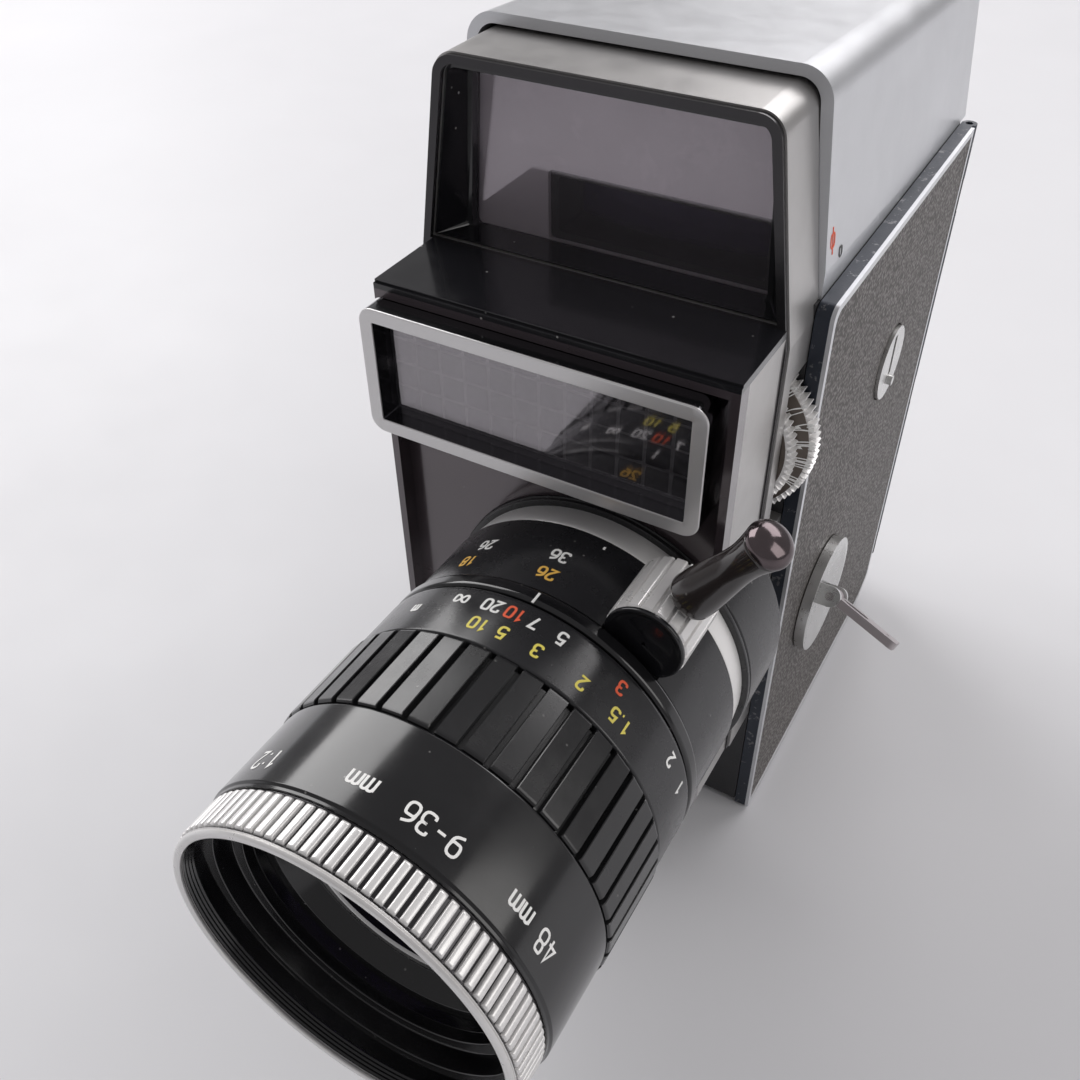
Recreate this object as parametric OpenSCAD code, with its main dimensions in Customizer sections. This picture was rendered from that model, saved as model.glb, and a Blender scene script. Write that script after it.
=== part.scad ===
// Spring-driven double-eight cine camera with a zoom lens, a selenium
// exposure cell, coaxial exposure dials and a hinged film door.
// +Z up, the lens looks along -Y and the film door is on +X.
// The origin is on the table plane, below the middle of the film chamber's web.

/* [Body] */
// Width of the body between its two side faces
body_w = 57.4; // [54:0.2:62]
// Height of the chassis above the base
body_h = 110; // [108:0.5:116]
// Distance from the origin forward to the front edge of the door
body_front = 33; // [31:0.5:36]
// Distance from the origin back to the rear face
body_rear = 44; // [43:0.5:50]
// Wall of the die-cast chassis
wall = 3; // [2.5:0.1:3.5]
// Radius of the lower rear corner, seen from the side
heel_r = 13; // [8:0.5:16]
// Distance of the tripod socket from the middle, towards the mechanism side
socket_x = 12; // [8:0.5:14]

/* [Top housing] */
// Height of the housing's top
housing_top = 139.8; // [138.6:0.1:142]
// Half width of the housing at its top
housing_half_top = 25.9; // [25:0.1:27]
// Slope of the housing's top towards the rear, in degrees
housing_fall = 3.5; // [1:0.5:5]
// Sheet thickness of the housing
housing_wall = 1.5; // [1:0.1:2]
// Radius of the housing's long top edges
housing_r = 4.5; // [3:0.5:6]

/* [Front cover and finder hood] */
// How far the cover stands in front of the door's edge
cover_depth = 8.8; // [8:0.1:10]
// Height of the cover's lower edge
cover_bottom = 27; // [24:0.5:30]
// Height of the black shelf in front of the finder
shelf_z = 111; // [110.5:0.1:112]
// Height of the hood's top
hood_top = 137.8; // [136:0.1:139]
// Half width of the hood at its top
hood_half_top = 24.2; // [23:0.1:24.8]
// Radius of the hood's top corners
hood_r = 3.5; // [2:0.5:5]
// Distance of the finder axis from the middle of the body
finder_x = 5.8; // [4:0.1:7]

/* [Front block and cell] */
// How far the front block stands in front of the door's edge
block_depth = 24.2; // [23:0.1:26]
// Distance of the front block's side from the middle, on the door side
block_right = 28.2; // [27.6:0.1:28.4]
// Distance of the front block's other side from the middle
block_left = 26.4; // [26:0.1:28]
// Distance of the cell frame's side from the middle, on the door side
cell_right = 25.7; // [24:0.1:26]
// Distance of the cell frame's other side from the middle
cell_left = 27.1; // [25:0.1:27.6]
// Height of the cell frame
cell_h = 20.5; // [18:0.5:21]
// Height of the cell frame's lower edge
cell_z = 88; // [87:0.5:89]

/* [Lens] */
// Distance of the lens axis from the middle of the body
lens_x = 8.8; // [8:0.1:9.2]
// Height of the lens axis
lens_z = 57.5; // [57:0.1:58]
// Outer radius of the lens rings
lens_r = 25.8; // [25.6:0.1:26]
// Radius of the fixed lens tube that the rings turn on
tube_r = 21; // [20.5:0.1:21.4]
// Radius of the filter thread
filter_r = 24; // [23.8:0.1:24.1]
// Number of bars round the front knurled ring
filter_bars = 96; // [60:4:120]
// Number of ribs round the focus grip
grip_ribs = 42; // [24:2:48]
// Radial clearance of the turning rings
run_fit = 0.05; // [0.03:0.01:0.08]

/* [Zoom lever] */
// Direction of the lever round the lens axis, from +X
lever_angle = 54.8; // [50:0.2:58]
// Distance of the lever's end from the lens axis
lever_reach = 51; // [46:0.5:54]
// Radius of the knurled zoom knob
knob_r = 5.9; // [5:0.1:6.2]

/* [Dials] */
// Distance of the dial axis from the middle of the body
dial_x = 17.9; // [17:0.1:18.4]
// Height of the dial axis
dial_z = 88.6; // [87:0.1:90]
// Radius of the exposure dial
speed_dial_r = 15; // [14:0.1:15.2]
// Radius of the film speed dial
film_dial_r = 12.9; // [12:0.1:14.4]

/* [Door] */
// Thickness of the door with its trim
door_t = 2.7; // [2.4:0.1:3]
// Distance of the lock disc behind the origin
lock_y = 8.8; // [7:0.2:10]
// Height of the lock disc
lock_z = 79.2; // [78:0.2:80]
// Distance of the winding disc in front of the origin
wind_y = 11.4; // [10.6:0.2:12]
// Height of the winding disc
wind_z = 41.1; // [40.5:0.1:42]
// Radius of the winding disc
wind_r = 11; // [9:0.5:12]
// Length of the folding key beyond its pin
key_len = 14; // [10:0.5:15]
// How far the winding disc is turned at rest, in degrees
wind_angle = 40; // [0:5:90]
// How far the unfolded key droops, in degrees
key_droop = 20; // [0:1:25]

/* [Film transport] */
// Outer radius of a film spool's flanges
spool_r = 25.4; // [24.5:0.1:25.5]
// Width of the film
film_w = 16; // [15.9:0.1:16]

/* [Hidden] */
$fn = 96;
fine_fn = 288;
eps = 0.01;

side = body_w / 2;
y_door = -body_front;
y_back = body_rear;
y_cover = y_door - cover_depth;
rim_t = 0.8;
y_block = y_cover - rim_t;
y_rim = y_door - block_depth;
y_plate = y_rim + 2.7;
y_cell = y_rim - 3.3;
y_housing = y_door + 2;
cover_wall = 2;
hood_wall = 1.4;
knee_z = 108;
y_window = y_door - 2.5;
y_step = y_window - 2.4;
window_t = 1.2;
window_half_low = 23.2;
window_half_top = 21.7;
window_top = 134.4;
mouth_h = 10.7;
tongue = 4;
floor_z = body_h + 0.1;
base_t = 1.5;

// Film chamber and mechanism chamber
chamber_front = y_door + wall;
chamber_back = y_back - wall - 0.6;
chamber_low = wall + 0.2;
chamber_high = body_h - wall;
web_low = -1;
web_high = 2;

// Film path
film_plane = y_door + 3.3;
film_x0 = 4;
film_x1 = film_x0 + film_w;
spool_gap = 0.4;
spool_y = chamber_back - spool_gap - spool_r;
takeup_z = chamber_low + spool_gap + spool_r;
supply_z = chamber_high - spool_gap - spool_r;
spindle_r = 3.9;
flange_t = 1;
claw_x = film_x1 - 1.3;

// Lens stations, from the body forward
y_boss = y_plate - 0.5;
y_flange = y_boss - 5.3;
y_zoom0 = y_flange - 0.2;
y_zoom1 = y_flange - 13.6;
y_index0 = y_zoom1 - 0.2;
y_index1 = y_index0 - 2.7;
y_focus0 = y_index1 - 0.2;
y_focus1 = y_focus0 - 9.8;
y_grip = y_focus1 - 14.2;
y_barrel = y_grip - 14.3;
y_filter = y_barrel - 6.2;
y_bezel = y_filter - 0.8;
boss_r = 25.5;
tube_bore = 16;
sleeve_r = 23;
cell_bore = 24.6;
plate_rim = 1.2;
plate_t = 1;
cell_wall = 2.2;
cell_mid = (cell_right - cell_left) / 2;
cell_w = cell_right + cell_left;

// Door
door_gap = 0.15;
door_x0 = side + door_gap;
door_x1 = door_x0 + door_t;
finder_z = shelf_z + 7;
eyepiece_r = 7.5;
trim_t = 0.6;
trim_w = 1.1;
door_skin = door_x1 - trim_t;
door_z0 = 0.6;
door_z1 = body_h;
hinge_x = (door_x0 + door_x1) / 2;
hinge_r = door_t / 2;
hinge_y = y_back - 1.9 - hinge_r;
hinge_pin_r = 0.6;
knuckle_h = 6;
knuckle_z = [10, 52, 94];

// Winding
key_pin_x = door_x1 + 3.4;
key_pin_r = 0.8;
key_w = 6.6;
key_t = 1.5;
arbor_r = 2.5;
barrel_r = 17;
dog_x = door_x0 - 2.4;

// Zoom knob, on the zoom ring
knob_dist = 27.6;
knob_x = lens_x + knob_dist * cos(lever_angle);
knob_z = lens_z + knob_dist * sin(lever_angle);
lever_y = (y_zoom0 + y_zoom1) / 2 - 0.6;

// Shutter
shutter_x = -7;
shutter_z = lens_z;
shutter_r = 18.5;

// Release button
release_x = -19;
release_z = 37;
release_r = 4;

// ---------- helpers ----------

// A side-view outline (Y, Z) carried from x0 to x1
module along_x(x0, x1) {
    translate([x0, 0, 0]) rotate([90, 0, 90]) linear_extrude(x1 - x0) children();
}

// A front-view outline (X, Z) carried from y0 back to y1
module along_y(y0, y1) {
    translate([0, y1, 0]) rotate([90, 0, 0]) linear_extrude(y1 - y0) children();
}

module on_lens_axis() {
    translate([lens_x, 0, lens_z]) children();
}

// A plain ring about the Y axis
module ring_y(y0, y1, ro, ri) {
    along_y(y0, y1) difference() {
        circle(ro);
        circle(ri);
    }
}

module rod_x(x0, x1, r) {
    translate([x0, 0, 0]) rotate([0, 90, 0]) cylinder(h = x1 - x0, r = r);
}

module rod_y(y0, y1, r) {
    translate([0, y1, 0]) rotate([90, 0, 0]) cylinder(h = y1 - y0, r = r);
}

// A rectangle from a to b
module box2(a, b) {
    translate(a) square([b[0] - a[0], b[1] - a[1]]);
}

// What a round corner of radius r leaves off, corner at the origin
module corner_waste(r, sides = 96) {
    difference() {
        translate([-1, -1]) square(r + 1);
        translate([r, r]) circle(r, $fn = sides);
    }
}

// A rectangle from a to b with one radius at every corner
module round_box2(a, b, r) {
    difference() {
        box2(a, b);
        translate(a) corner_waste(r);
        translate([b[0], a[1]]) mirror([1, 0]) corner_waste(r);
        translate([a[0], b[1]]) mirror([0, 1]) corner_waste(r);
        translate(b) rotate(180) corner_waste(r);
    }
}

// Side outline of the body, drawn in by a margin
module side_outline(front, low, back, high, heel, nose) {
    difference() {
        box2([front, low], [back, high]);
        translate([back, low]) mirror([1, 0]) corner_waste(heel);
        translate([front, high]) mirror([0, 1]) corner_waste(nose);
    }
}

// Front outline with upright lower sides, leaning upper sides and round top corners
module taper_outline(half, low, knee, half_top, top, r) {
    lean = atan((half - half_top) / (top - knee));
    cx = half_top - r * (1 - sin(lean)) / cos(lean);
    cz = top - r;
    tx = cx + r * cos(lean);
    tz = cz + r * sin(lean);
    polygon([
        [-half, low], [half, low], [half, knee], [tx, tz], [cx, top],
        [-cx, top], [-tx, tz], [-half, knee]
    ]);
    for (s = [-1, 1])
        translate([s * cx, cz]) circle(r);
}

// The outline of a toothed or ribbed ring: n teeth between radii ri and ro
module toothed_outline(n, ri, ro, land = 0.5) {
    step = 360 / n;
    polygon([
        for (i = [0 : n - 1], k = [[0, ri], [0.5 - land / 2, ri], [0.5 - land / 4, ro], [0.5 + land / 2, ro]])
            (k[1]) * [cos(step * (i + k[0])), sin(step * (i + k[0]))]
    ]);
}

// A lens element about the Y axis, bulging forward by a given rise
module lens_element(y0, y1, r, rise) {
    ball = (r * r + rise * rise) / (2 * rise);
    intersection() {
        rod_y(y0, y1, r);
        translate([0, y0 + ball, 0]) sphere(ball, $fn = fine_fn);
    }
}

module hood_outline(inset = 0, low = cover_bottom) {
    taper_outline(side - inset, low, knee_z, hood_half_top - inset, hood_top - inset,
                  max(hood_r - inset, 1));
}

module housing_outline(inset = 0, low = body_h) {
    taper_outline(side - inset, low, body_h + 4, housing_half_top - inset,
                  housing_top - inset, max(housing_r - inset, 1));
}

// ---------- body ----------

module body_outline(inset) {
    side_outline(y_door + inset, base_t + inset, y_back - inset, body_h - inset,
                 max(heel_r - inset, 1), 0.5);
}

// Open pockets on both sides of a middle web, as the die casting has
module chassis() color("dimgray") {
    difference() {
        along_x(-side, side) body_outline(0);
        along_x(web_high, side + 1) chamber_outline();
        along_x(-side - 1, web_low) chamber_outline();
        // rear upright edges
        for (s = [-1, 1])
            translate([s * side, y_back, -1]) rotate(s > 0 ? 180 : 270)
                linear_extrude(body_h + 2) corner_waste(4);
        // light path and shutter shaft through the front wall
        on_lens_axis() rod_y(y_door - 1, chamber_front + 1, 7);
        translate([shutter_x, 0, shutter_z]) rod_y(y_door - 1, chamber_front + 1, 1.5 + run_fit);
        translate([dial_x, 0, dial_z]) rod_y(y_door - 1, chamber_front + 1, 1.5);
        // slot for the claw
        translate([claw_x - 0.5, y_door - 1, lens_z - 15.8]) cube([1.6, wall + 2, 9.8]);
        // winding arbor through the web
        translate([0, -wind_y, wind_z]) rod_x(web_low - 1, web_high + 1, arbor_r + run_fit);
        at_socket(-1) cylinder(h = 13, r = 7);
        cover_screw_places() rod_x(-side - 1, -side + 9, 1);
    }
    // spindles that the spools turn on
    for (z = [takeup_z, supply_z])
        translate([0, spool_y, z]) rod_x(web_high - eps, film_x1 + 2, spindle_r);
    // hinge lugs on the door side
    for (z = knuckle_z) {
        difference() {
            union() {
                translate([hinge_x, hinge_y, z]) cylinder(h = knuckle_h, r = hinge_r - 0.05);
                translate([side - 1, hinge_y - 0.8, z]) cube([hinge_x - side + 1, 1.6, knuckle_h]);
            }
            translate([hinge_x, hinge_y, z - 1]) cylinder(h = knuckle_h + 2, r = hinge_pin_r);
        }
    }
}

module at_socket(z) {
    translate([-socket_x, 0, z]) children();
}

module chamber_outline() {
    side_outline(chamber_front, chamber_low, chamber_back, chamber_high, heel_r - wall, 1);
}

module base_plate() color("silver") difference() {
    linear_extrude(base_t) round_box2([-side + 2, y_door + 2], [side - 2, y_back - heel_r], 4);
    at_socket(-1) cylinder(h = 4, r = 7);
}

// Quarter-inch tripod bush, threaded from below
module tripod_bush() color("silver") difference() {
    at_socket(0) cylinder(h = 11.5, r = 7);
    at_socket(-1) cylinder(h = 10, r = 3.175);
}

module cover_screw_places() {
    for (p = [[y_door + 6, 8], [y_door + 6, body_h - 8], [y_back - 7, body_h - 8], [y_back - 15, 8]])
        translate([0, p[0], p[1]]) children();
}

module left_cover() color("silver") difference() {
    along_x(-side - 1.9, -side) cover_outline(0);
    along_x(-side - 3, -side - 1.3) cover_outline(trim_w);
    cover_screw_places() rod_x(-side - 3, -side + 1, 1);
    cover_screw_places() rod_x(-side - 3, -side - 1.0, 2);
}

module cover_outline(inset) {
    side_outline(y_door + inset, door_z0 + inset, hinge_y + hinge_r - inset,
                 door_z1 - inset, heel_r - inset, 2);
}

module left_leather() color([0.36, 0.33, 0.31]) difference() {
    along_x(-side - 1.8, -side - 1.3) cover_outline(trim_w);
    cover_screw_places() rod_x(-side - 3, -side, 2);
}

module cover_screws() color("silver") cover_screw_places() difference() {
    union() {
        rod_x(-side - 1.8, -side - 1.0, 1.9);
        rod_x(-side - 1.0, -side + 6, 0.95);
    }
    translate([-side - 2.2, -0.3, -3]) cube([0.8, 0.6, 6]);
}

// ---------- top housing and finder ----------

module top_housing() color("gainsboro") difference() {
    housing_block(0, body_h, y_housing);
    housing_block(housing_wall, body_h - 1, y_housing - 2);
    translate([finder_x, 0, finder_z]) rod_y(y_back - 4, y_back + 1, eyepiece_r + 0.05);
}

// The housing as a solid, drawn in by a margin: its top falls towards the rear
module housing_block(inset, low, front) {
    intersection() {
        translate([0, y_housing, housing_top]) rotate([-housing_fall, 0, 0])
            translate([0, -y_housing, -housing_top])
                along_y(y_housing - 10, y_back + 10) housing_outline(inset, body_h - 10);
        along_x(-side - 1, side + 1) housing_side(inset, low, front);
    }
}

// Side view of the housing, with three flats along its upper rear edge
module housing_side(inset, low, front) {
    back = y_back - inset;
    rear_top = housing_top - inset - (back - y_housing) * tan(housing_fall);
    r = 6 - inset;
    polygon([
        [front, low],
        [back, low],
        for (a = [0, 30, 60])
            [back - r + r * cos(a), rear_top - r + r * sin(a)],
        [back - 1.25 * r, rear_top + 0.067 * r],
        [back - 1.25 * r, housing_top + 1],
        [front, housing_top + 1]
    ]);
}

// Cover round the front of the body, with the hood over the finder window
module front_cover() color([0.62, 0.60, 0.58]) {
    difference() {
        union() {
            along_y(y_cover, y_door) hood_part_outline(cover_bottom, hood_top);
            along_y(y_door - eps, y_housing - 0.1) hood_part_outline(floor_z, hood_top);
            // tongue under the housing's front edge
            along_y(y_housing - 0.1 - eps, y_housing + tongue) intersection() {
                hood_part_outline(floor_z, hood_top);
                housing_outline(housing_wall + 0.2);
            }
        }
        // hollow below the shelf
        along_y(y_cover - 1, y_door + 1) box2([-side + cover_wall, cover_bottom + cover_wall],
                                             [side - cover_wall, shelf_z - 2.5]);
        along_y(y_cover - 1, y_housing + tongue + 1) hood_opening(hood_wall, shelf_z);
        // notch for the dials
        translate([side - cover_wall - 1, y_door - 6, dial_z - 14.6]) cube([4, 7, 27.4]);
    }
}

module hood_part_outline(low, high) {
    intersection() {
        hood_outline(0);
        box2([-side - 1, low], [side + 1, high]);
    }
}

// The opening in the hood, drawn in from the hood's outline by a margin
module hood_opening(inset, low) {
    intersection() {
        hood_outline(inset);
        box2([-side, low], [side, hood_top]);
    }
}

// The part of the finder window that its black surround leaves free
module window_opening() {
    taper_outline(window_half_low, shelf_z, shelf_z + 1, window_half_top, window_top, 1);
}

// Dark edge round the front of the cover
module hood_rim() color([0.1, 0.1, 0.1]) along_y(y_cover - rim_t, y_cover) difference() {
    hood_outline(0.25);
    hood_opening(hood_wall, shelf_z);
    box2([-side + cover_wall, cover_bottom + cover_wall], [side - cover_wall, shelf_z - 2.5]);
}

// Black baffle inside the hood, with a step round the window
module hood_lining() color([0.06, 0.06, 0.06]) {
    along_y(y_cover + 0.4, y_step + eps) difference() {
        hood_opening(hood_wall, shelf_z);
        hood_opening(hood_wall + 0.9, shelf_z + 0.4);
    }
    along_y(y_step, y_window) difference() {
        hood_opening(hood_wall, shelf_z);
        window_opening();
    }
}

module finder_window() color([0.6, 0.6, 0.65, 0.5])
    along_y(y_window, y_window + window_t) hood_opening(hood_wall, shelf_z);

// Finder optics: a wide mouth behind the window, then a round tube to the eye
module finder_tunnel() color([0.08, 0.08, 0.08]) difference() {
    union() {
        along_y(y_door - 1.2, y_door + 22)
            round_box2([finder_x - 17, shelf_z + 0.1], [finder_x + 17, shelf_z + mouth_h], 1);
        translate([finder_x, 0, finder_z]) rod_y(y_door + 18.5, y_back - housing_wall - 2, 6.2);
    }
    along_y(y_door - 3, y_door + 20.5) mouth_bore();
    translate([finder_x, 0, finder_z]) rod_y(y_door + 19, y_back, 5);
}

module mouth_bore() {
    round_box2([finder_x - 15.8, shelf_z + 1.3], [finder_x + 15.8, shelf_z + mouth_h - 1.2], 0.6);
}

module finder_lens() color([0.7, 0.75, 0.8, 0.5]) intersection() {
    along_y(y_door + 4, y_door + 7) mouth_bore();
    translate([finder_x, y_door + 4 + 60, shelf_z + mouth_h / 2]) sphere(60, $fn = fine_fn);
}

module eyepiece() color([0.1, 0.1, 0.1]) translate([finder_x, 0, finder_z]) difference() {
    union() {
        rod_y(y_back - housing_wall - 1.5, y_back + 3, eyepiece_r);
        rod_y(y_back, y_back + 1.2, 9.6);
    }
    rod_y(y_back - 6, y_back + 4, 5.2);
}

module eyecup() color([0.07, 0.07, 0.07]) translate([finder_x, 0, finder_z]) difference() {
    union() {
        rod_y(y_back + 1.2, y_back + 4.6, 10);
        translate([0, y_back + 7, 0]) rotate([90, 0, 0]) cylinder(h = 2.4, r1 = 11.4, r2 = 10);
    }
    rod_y(y_back, y_back + 3, eyepiece_r);
    rod_y(y_back + 3 - eps, y_back + 8, 6.4);
}

// ---------- front block, cell and plates ----------

// Front outline of the block, drawn in by a margin
module block_outline(inset) {
    box2([-block_left + inset, cover_bottom + inset], [block_right - inset, shelf_z - plate_rim - inset]);
}

module cell_outline(inset, r) {
    round_box2([-cell_left + inset, cell_z + inset], [cell_right - inset, cell_z + cell_h - inset], r);
}

module front_block() color([0.68, 0.67, 0.66]) difference() {
    along_y(y_plate, y_block) block_outline(0);
    // shallow seat for the plate
    along_y(y_plate - 1, y_plate + plate_t) block_outline(plate_rim - 0.25);
    // hollow behind
    along_y(y_plate + 3, y_block + 1) block_outline(2);
    on_lens_axis() rod_y(y_rim - 2, y_block + 1, boss_r + 0.05);
    along_y(y_plate - 1, y_plate + 4) cell_outline(cell_wall + 0.8, 1);
    translate([release_x, 0, release_z]) rod_y(y_plate - 1, y_plate + 4, release_r - 1.4);
}

module shelf_plate() color([0.03, 0.03, 0.03]) difference() {
    along_y(y_rim, y_block) box2([-block_left, shelf_z - plate_rim], [block_right, shelf_z]);
    along_y(y_rim - 1, y_rim + 0.4) box2([-side, shelf_z - 0.4], [side, shelf_z + 1]);
}

// Black front with an upright rim, let into the block
module front_plate() color([0.04, 0.04, 0.04]) difference() {
    union() {
        along_y(y_rim, y_plate) block_outline(0);
        along_y(y_plate - eps, y_plate + plate_t) block_outline(plate_rim - 0.2);
    }
    along_y(y_rim - 1, y_plate) block_outline(plate_rim);
    on_lens_axis() rod_y(y_rim - 1, y_plate + 2, boss_r + 0.05);
    // seat of the cell frame, which overhangs the rim at one side
    along_y(y_rim - 1, y_plate) cell_outline(-0.05, 2);
    along_y(y_plate - 1, y_plate + 2) cell_outline(cell_wall + 0.8, 1);
    translate([release_x, 0, release_z]) rod_y(y_rim - 1, y_plate + 2, release_r + run_fit);
}

module cell_frame() color("silver") difference() {
    along_y(y_cell, y_plate) cell_outline(0, 2.4);
    along_y(y_cell - 1, y_plate + 1) cell_outline(cell_wall, 1);
}

// Moulded window with a grid of small lenses over the selenium cell
module cell_window() color([0.75, 0.78, 0.85, 0.5]) union() {
    along_y(y_cell + 2.4, y_cell + 3.4) cell_outline(cell_wall + 0.05, 0.95);
    for (i = [1 : 11])
        translate([cell_mid + (i / 12 - 0.5) * (cell_w - 2 * cell_wall), y_cell + 3.7, cell_z + cell_h / 2])
            cube([0.5, 0.7, cell_h - 5.2], center = true);
    for (k = [-1 : 1])
        translate([cell_mid, y_cell + 3.7, cell_z + cell_h / 2 + k * (cell_h - 2 * cell_wall) / 4])
            cube([cell_w - 5.2, 0.7, 0.5], center = true);
}

module selenium_cell() color([0.16, 0.13, 0.18]) along_y(y_plate - 1, y_plate + 0.6) cell_outline(3.2, 0.8);

// ---------- fixed parts of the lens ----------

module lens_boss() color([0.12, 0.12, 0.13]) on_lens_axis() difference() {
    union() {
        ring_y(y_boss, y_block, boss_r, tube_bore);
        ring_y(y_boss - 0.7, y_boss + eps, boss_r, 24.5);
    }
}

module lens_flange() color("silver") on_lens_axis() difference() {
    translate([0, y_boss, 0]) rotate([90, 0, 0]) cylinder(h = y_boss - y_flange, r1 = 24.4, r2 = 25);
    rod_y(y_flange - 1, y_boss + 1, tube_bore);
}

module lens_tube() color([0.2, 0.2, 0.2]) on_lens_axis() union() {
    ring_y(y_grip + 1, y_flange, tube_r, tube_bore);
    ring_y(y_flange - eps, y_block + 3, tube_bore, 10);
}

module index_ring() color([0.05, 0.05, 0.05]) on_lens_axis() ring_y(y_index1, y_index0, lens_r, tube_r);

module relay_lens() color([0.7, 0.8, 0.9, 0.5]) on_lens_axis() lens_element(y_boss + 2, y_boss + 7, 10, 1.6);

// ---------- zoom group ----------

module zoom_ring() color([0.05, 0.05, 0.05]) on_lens_axis() difference() {
    ring_y(y_zoom1, y_zoom0, lens_r - 0.6, tube_r + run_fit);
    translate([knob_x - lens_x, 0, knob_z - lens_z]) rod_y(y_zoom1 - 1, y_zoom0 - 1.6, knob_r + 0.02);
}

// Knurled knob let into the ring, with the lever screwed into its side
module zoom_knob() color("silver") difference() {
    translate([knob_x, 0, knob_z]) along_y(y_zoom1 + 0.1, y_zoom0 - 1.7) toothed_outline(30, knob_r - 0.45, knob_r);
    on_lens_axis() rod_y(y_zoom1 - 2, y_zoom0 + 2, tube_r + 0.4);
    translate([knob_x, 0, knob_z]) rod_y(y_zoom1 - 1, y_zoom1 + 0.7, knob_r - 0.9);
    lever_axis() cylinder(h = 12, r = 1.5);
}

module knob_cap() color([0.03, 0.03, 0.03]) difference() {
    translate([knob_x, 0, knob_z]) rod_y(y_zoom1 + 0.1, y_zoom1 + 0.7, knob_r - 0.9);
    on_lens_axis() rod_y(y_zoom1 - 2, y_zoom0 + 2, tube_r + 0.4);
}

// Frame with +Z along the lever, starting at the knob's axis
module lever_axis() {
    translate([knob_x, lever_y, knob_z]) rotate([0, 90 - lever_angle, 0]) children();
}

module zoom_lever() color([0.06, 0.05, 0.05]) lever_axis() {
    len = lever_reach - knob_dist;
    translate([0, 0, knob_r - 3]) cylinder(h = 3.2, r = 1.5);
    rotate_extrude() polygon([
        [0, knob_r + 0.1], [2.9, knob_r + 0.1], [3.5, knob_r + 1], [3.4, knob_r + 4],
        [2.6, len - 5.5], [2.6, len - 4.4], [3.3, len - 2], [3.3, len - 1.6], [0, len - 1.6]
    ]);
}

module lever_cap() color("silver") lever_axis() translate([0, 0, lever_reach - knob_dist - 1.6]) intersection() {
    cylinder(h = 3, r = 3.6);
    translate([0, 0, -2.4]) sphere(4.3);
}

module variator_lens() color([0.7, 0.8, 0.9, 0.5]) on_lens_axis() lens_element(y_index1 - 3, y_index1 + 3, tube_bore - run_fit, 2);

// ---------- focus group ----------

module focus_ring() color([0.05, 0.05, 0.05]) on_lens_axis() ring_y(y_focus1, y_focus0, lens_r, tube_r + run_fit);

module focus_grip() color([0.06, 0.06, 0.06]) on_lens_axis() along_y(y_grip, y_focus1) difference() {
    toothed_outline(grip_ribs, lens_r - 0.9, lens_r + 0.4, 0.78);
    circle(sleeve_r);
}

// Smooth barrel with the sleeve that carries the grip
module front_barrel() color([0.05, 0.05, 0.05]) on_lens_axis() union() {
    ring_y(y_barrel, y_grip, lens_r, cell_bore);
    ring_y(y_grip - 1.6, y_grip, cell_bore + eps, tube_r + run_fit);
    ring_y(y_grip - eps, y_focus1, sleeve_r, tube_r + run_fit);
}

module filter_ring() color("silver") on_lens_axis() along_y(y_filter, y_barrel) difference() {
    toothed_outline(filter_bars, lens_r - 1.0, lens_r - 0.3, 0.56);
    circle(cell_bore, $fn = fine_fn);
}

// Bright front lip with the filter thread in it
module front_bezel() color("whitesmoke") on_lens_axis() difference() {
    union() {
        rod_y(y_filter - eps, y_bezel + 5, cell_bore);
        translate([0, y_filter, 0]) rotate([90, 0, 0]) cylinder(h = y_filter - y_bezel, r1 = lens_r - 0.5, r2 = lens_r - 1.1);
    }
    rod_y(y_bezel - 1, y_bezel + 6, filter_r);
}

// Black stepped mount of the front element
module front_cell() color([0.04, 0.04, 0.04]) on_lens_axis() difference() {
    rod_y(y_bezel + 5, y_grip - 1.6, cell_bore);
    rod_y(y_bezel + 4, y_bezel + 8, 22.6);
    rod_y(y_bezel + 7.9, y_bezel + 11.5, 20.4);
    translate([0, y_bezel + 14.4, 0]) rotate([90, 0, 0]) cylinder(h = 3, r1 = 17, r2 = 19.4);
    rod_y(y_bezel + 14.3, y_grip, 17);
}

module front_element() color([0.6, 0.7, 0.9, 0.5]) on_lens_axis() lens_element(y_bezel + 14.6, y_grip - 1.7, 17, 2.2);

// ---------- dials ----------

module dial_shaft() color("silver") translate([dial_x, 0, dial_z]) rod_y(y_door - 8, chamber_front, 1.5);

module speed_dial() color("silver") translate([dial_x, 0, dial_z]) difference() {
    union() {
        along_y(y_door - 3.1, y_door - 0.5) toothed_outline(44, speed_dial_r - 1.2, speed_dial_r);
        translate([0, y_door - 3.1 + eps, 0]) rotate([90, 0, 0]) cylinder(h = 0.8, r1 = speed_dial_r - 1.4, r2 = speed_dial_r - 4);
    }
    rod_y(y_door - 5, y_door, 1.5 + run_fit);
}

module film_dial() color("silver") translate([dial_x, 0, dial_z]) difference() {
    along_y(y_door - 5.9, y_door - 4.1) toothed_outline(60, film_dial_r - 0.7, film_dial_r);
    rod_y(y_door - 7, y_door, 1.5 + run_fit);
}

// ---------- door ----------

module door_outline(inset) {
    side_outline(y_door + inset, door_z0 + inset, hinge_y + hinge_r - inset,
                 door_z1 - inset, heel_r - inset, 2);
}

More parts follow.
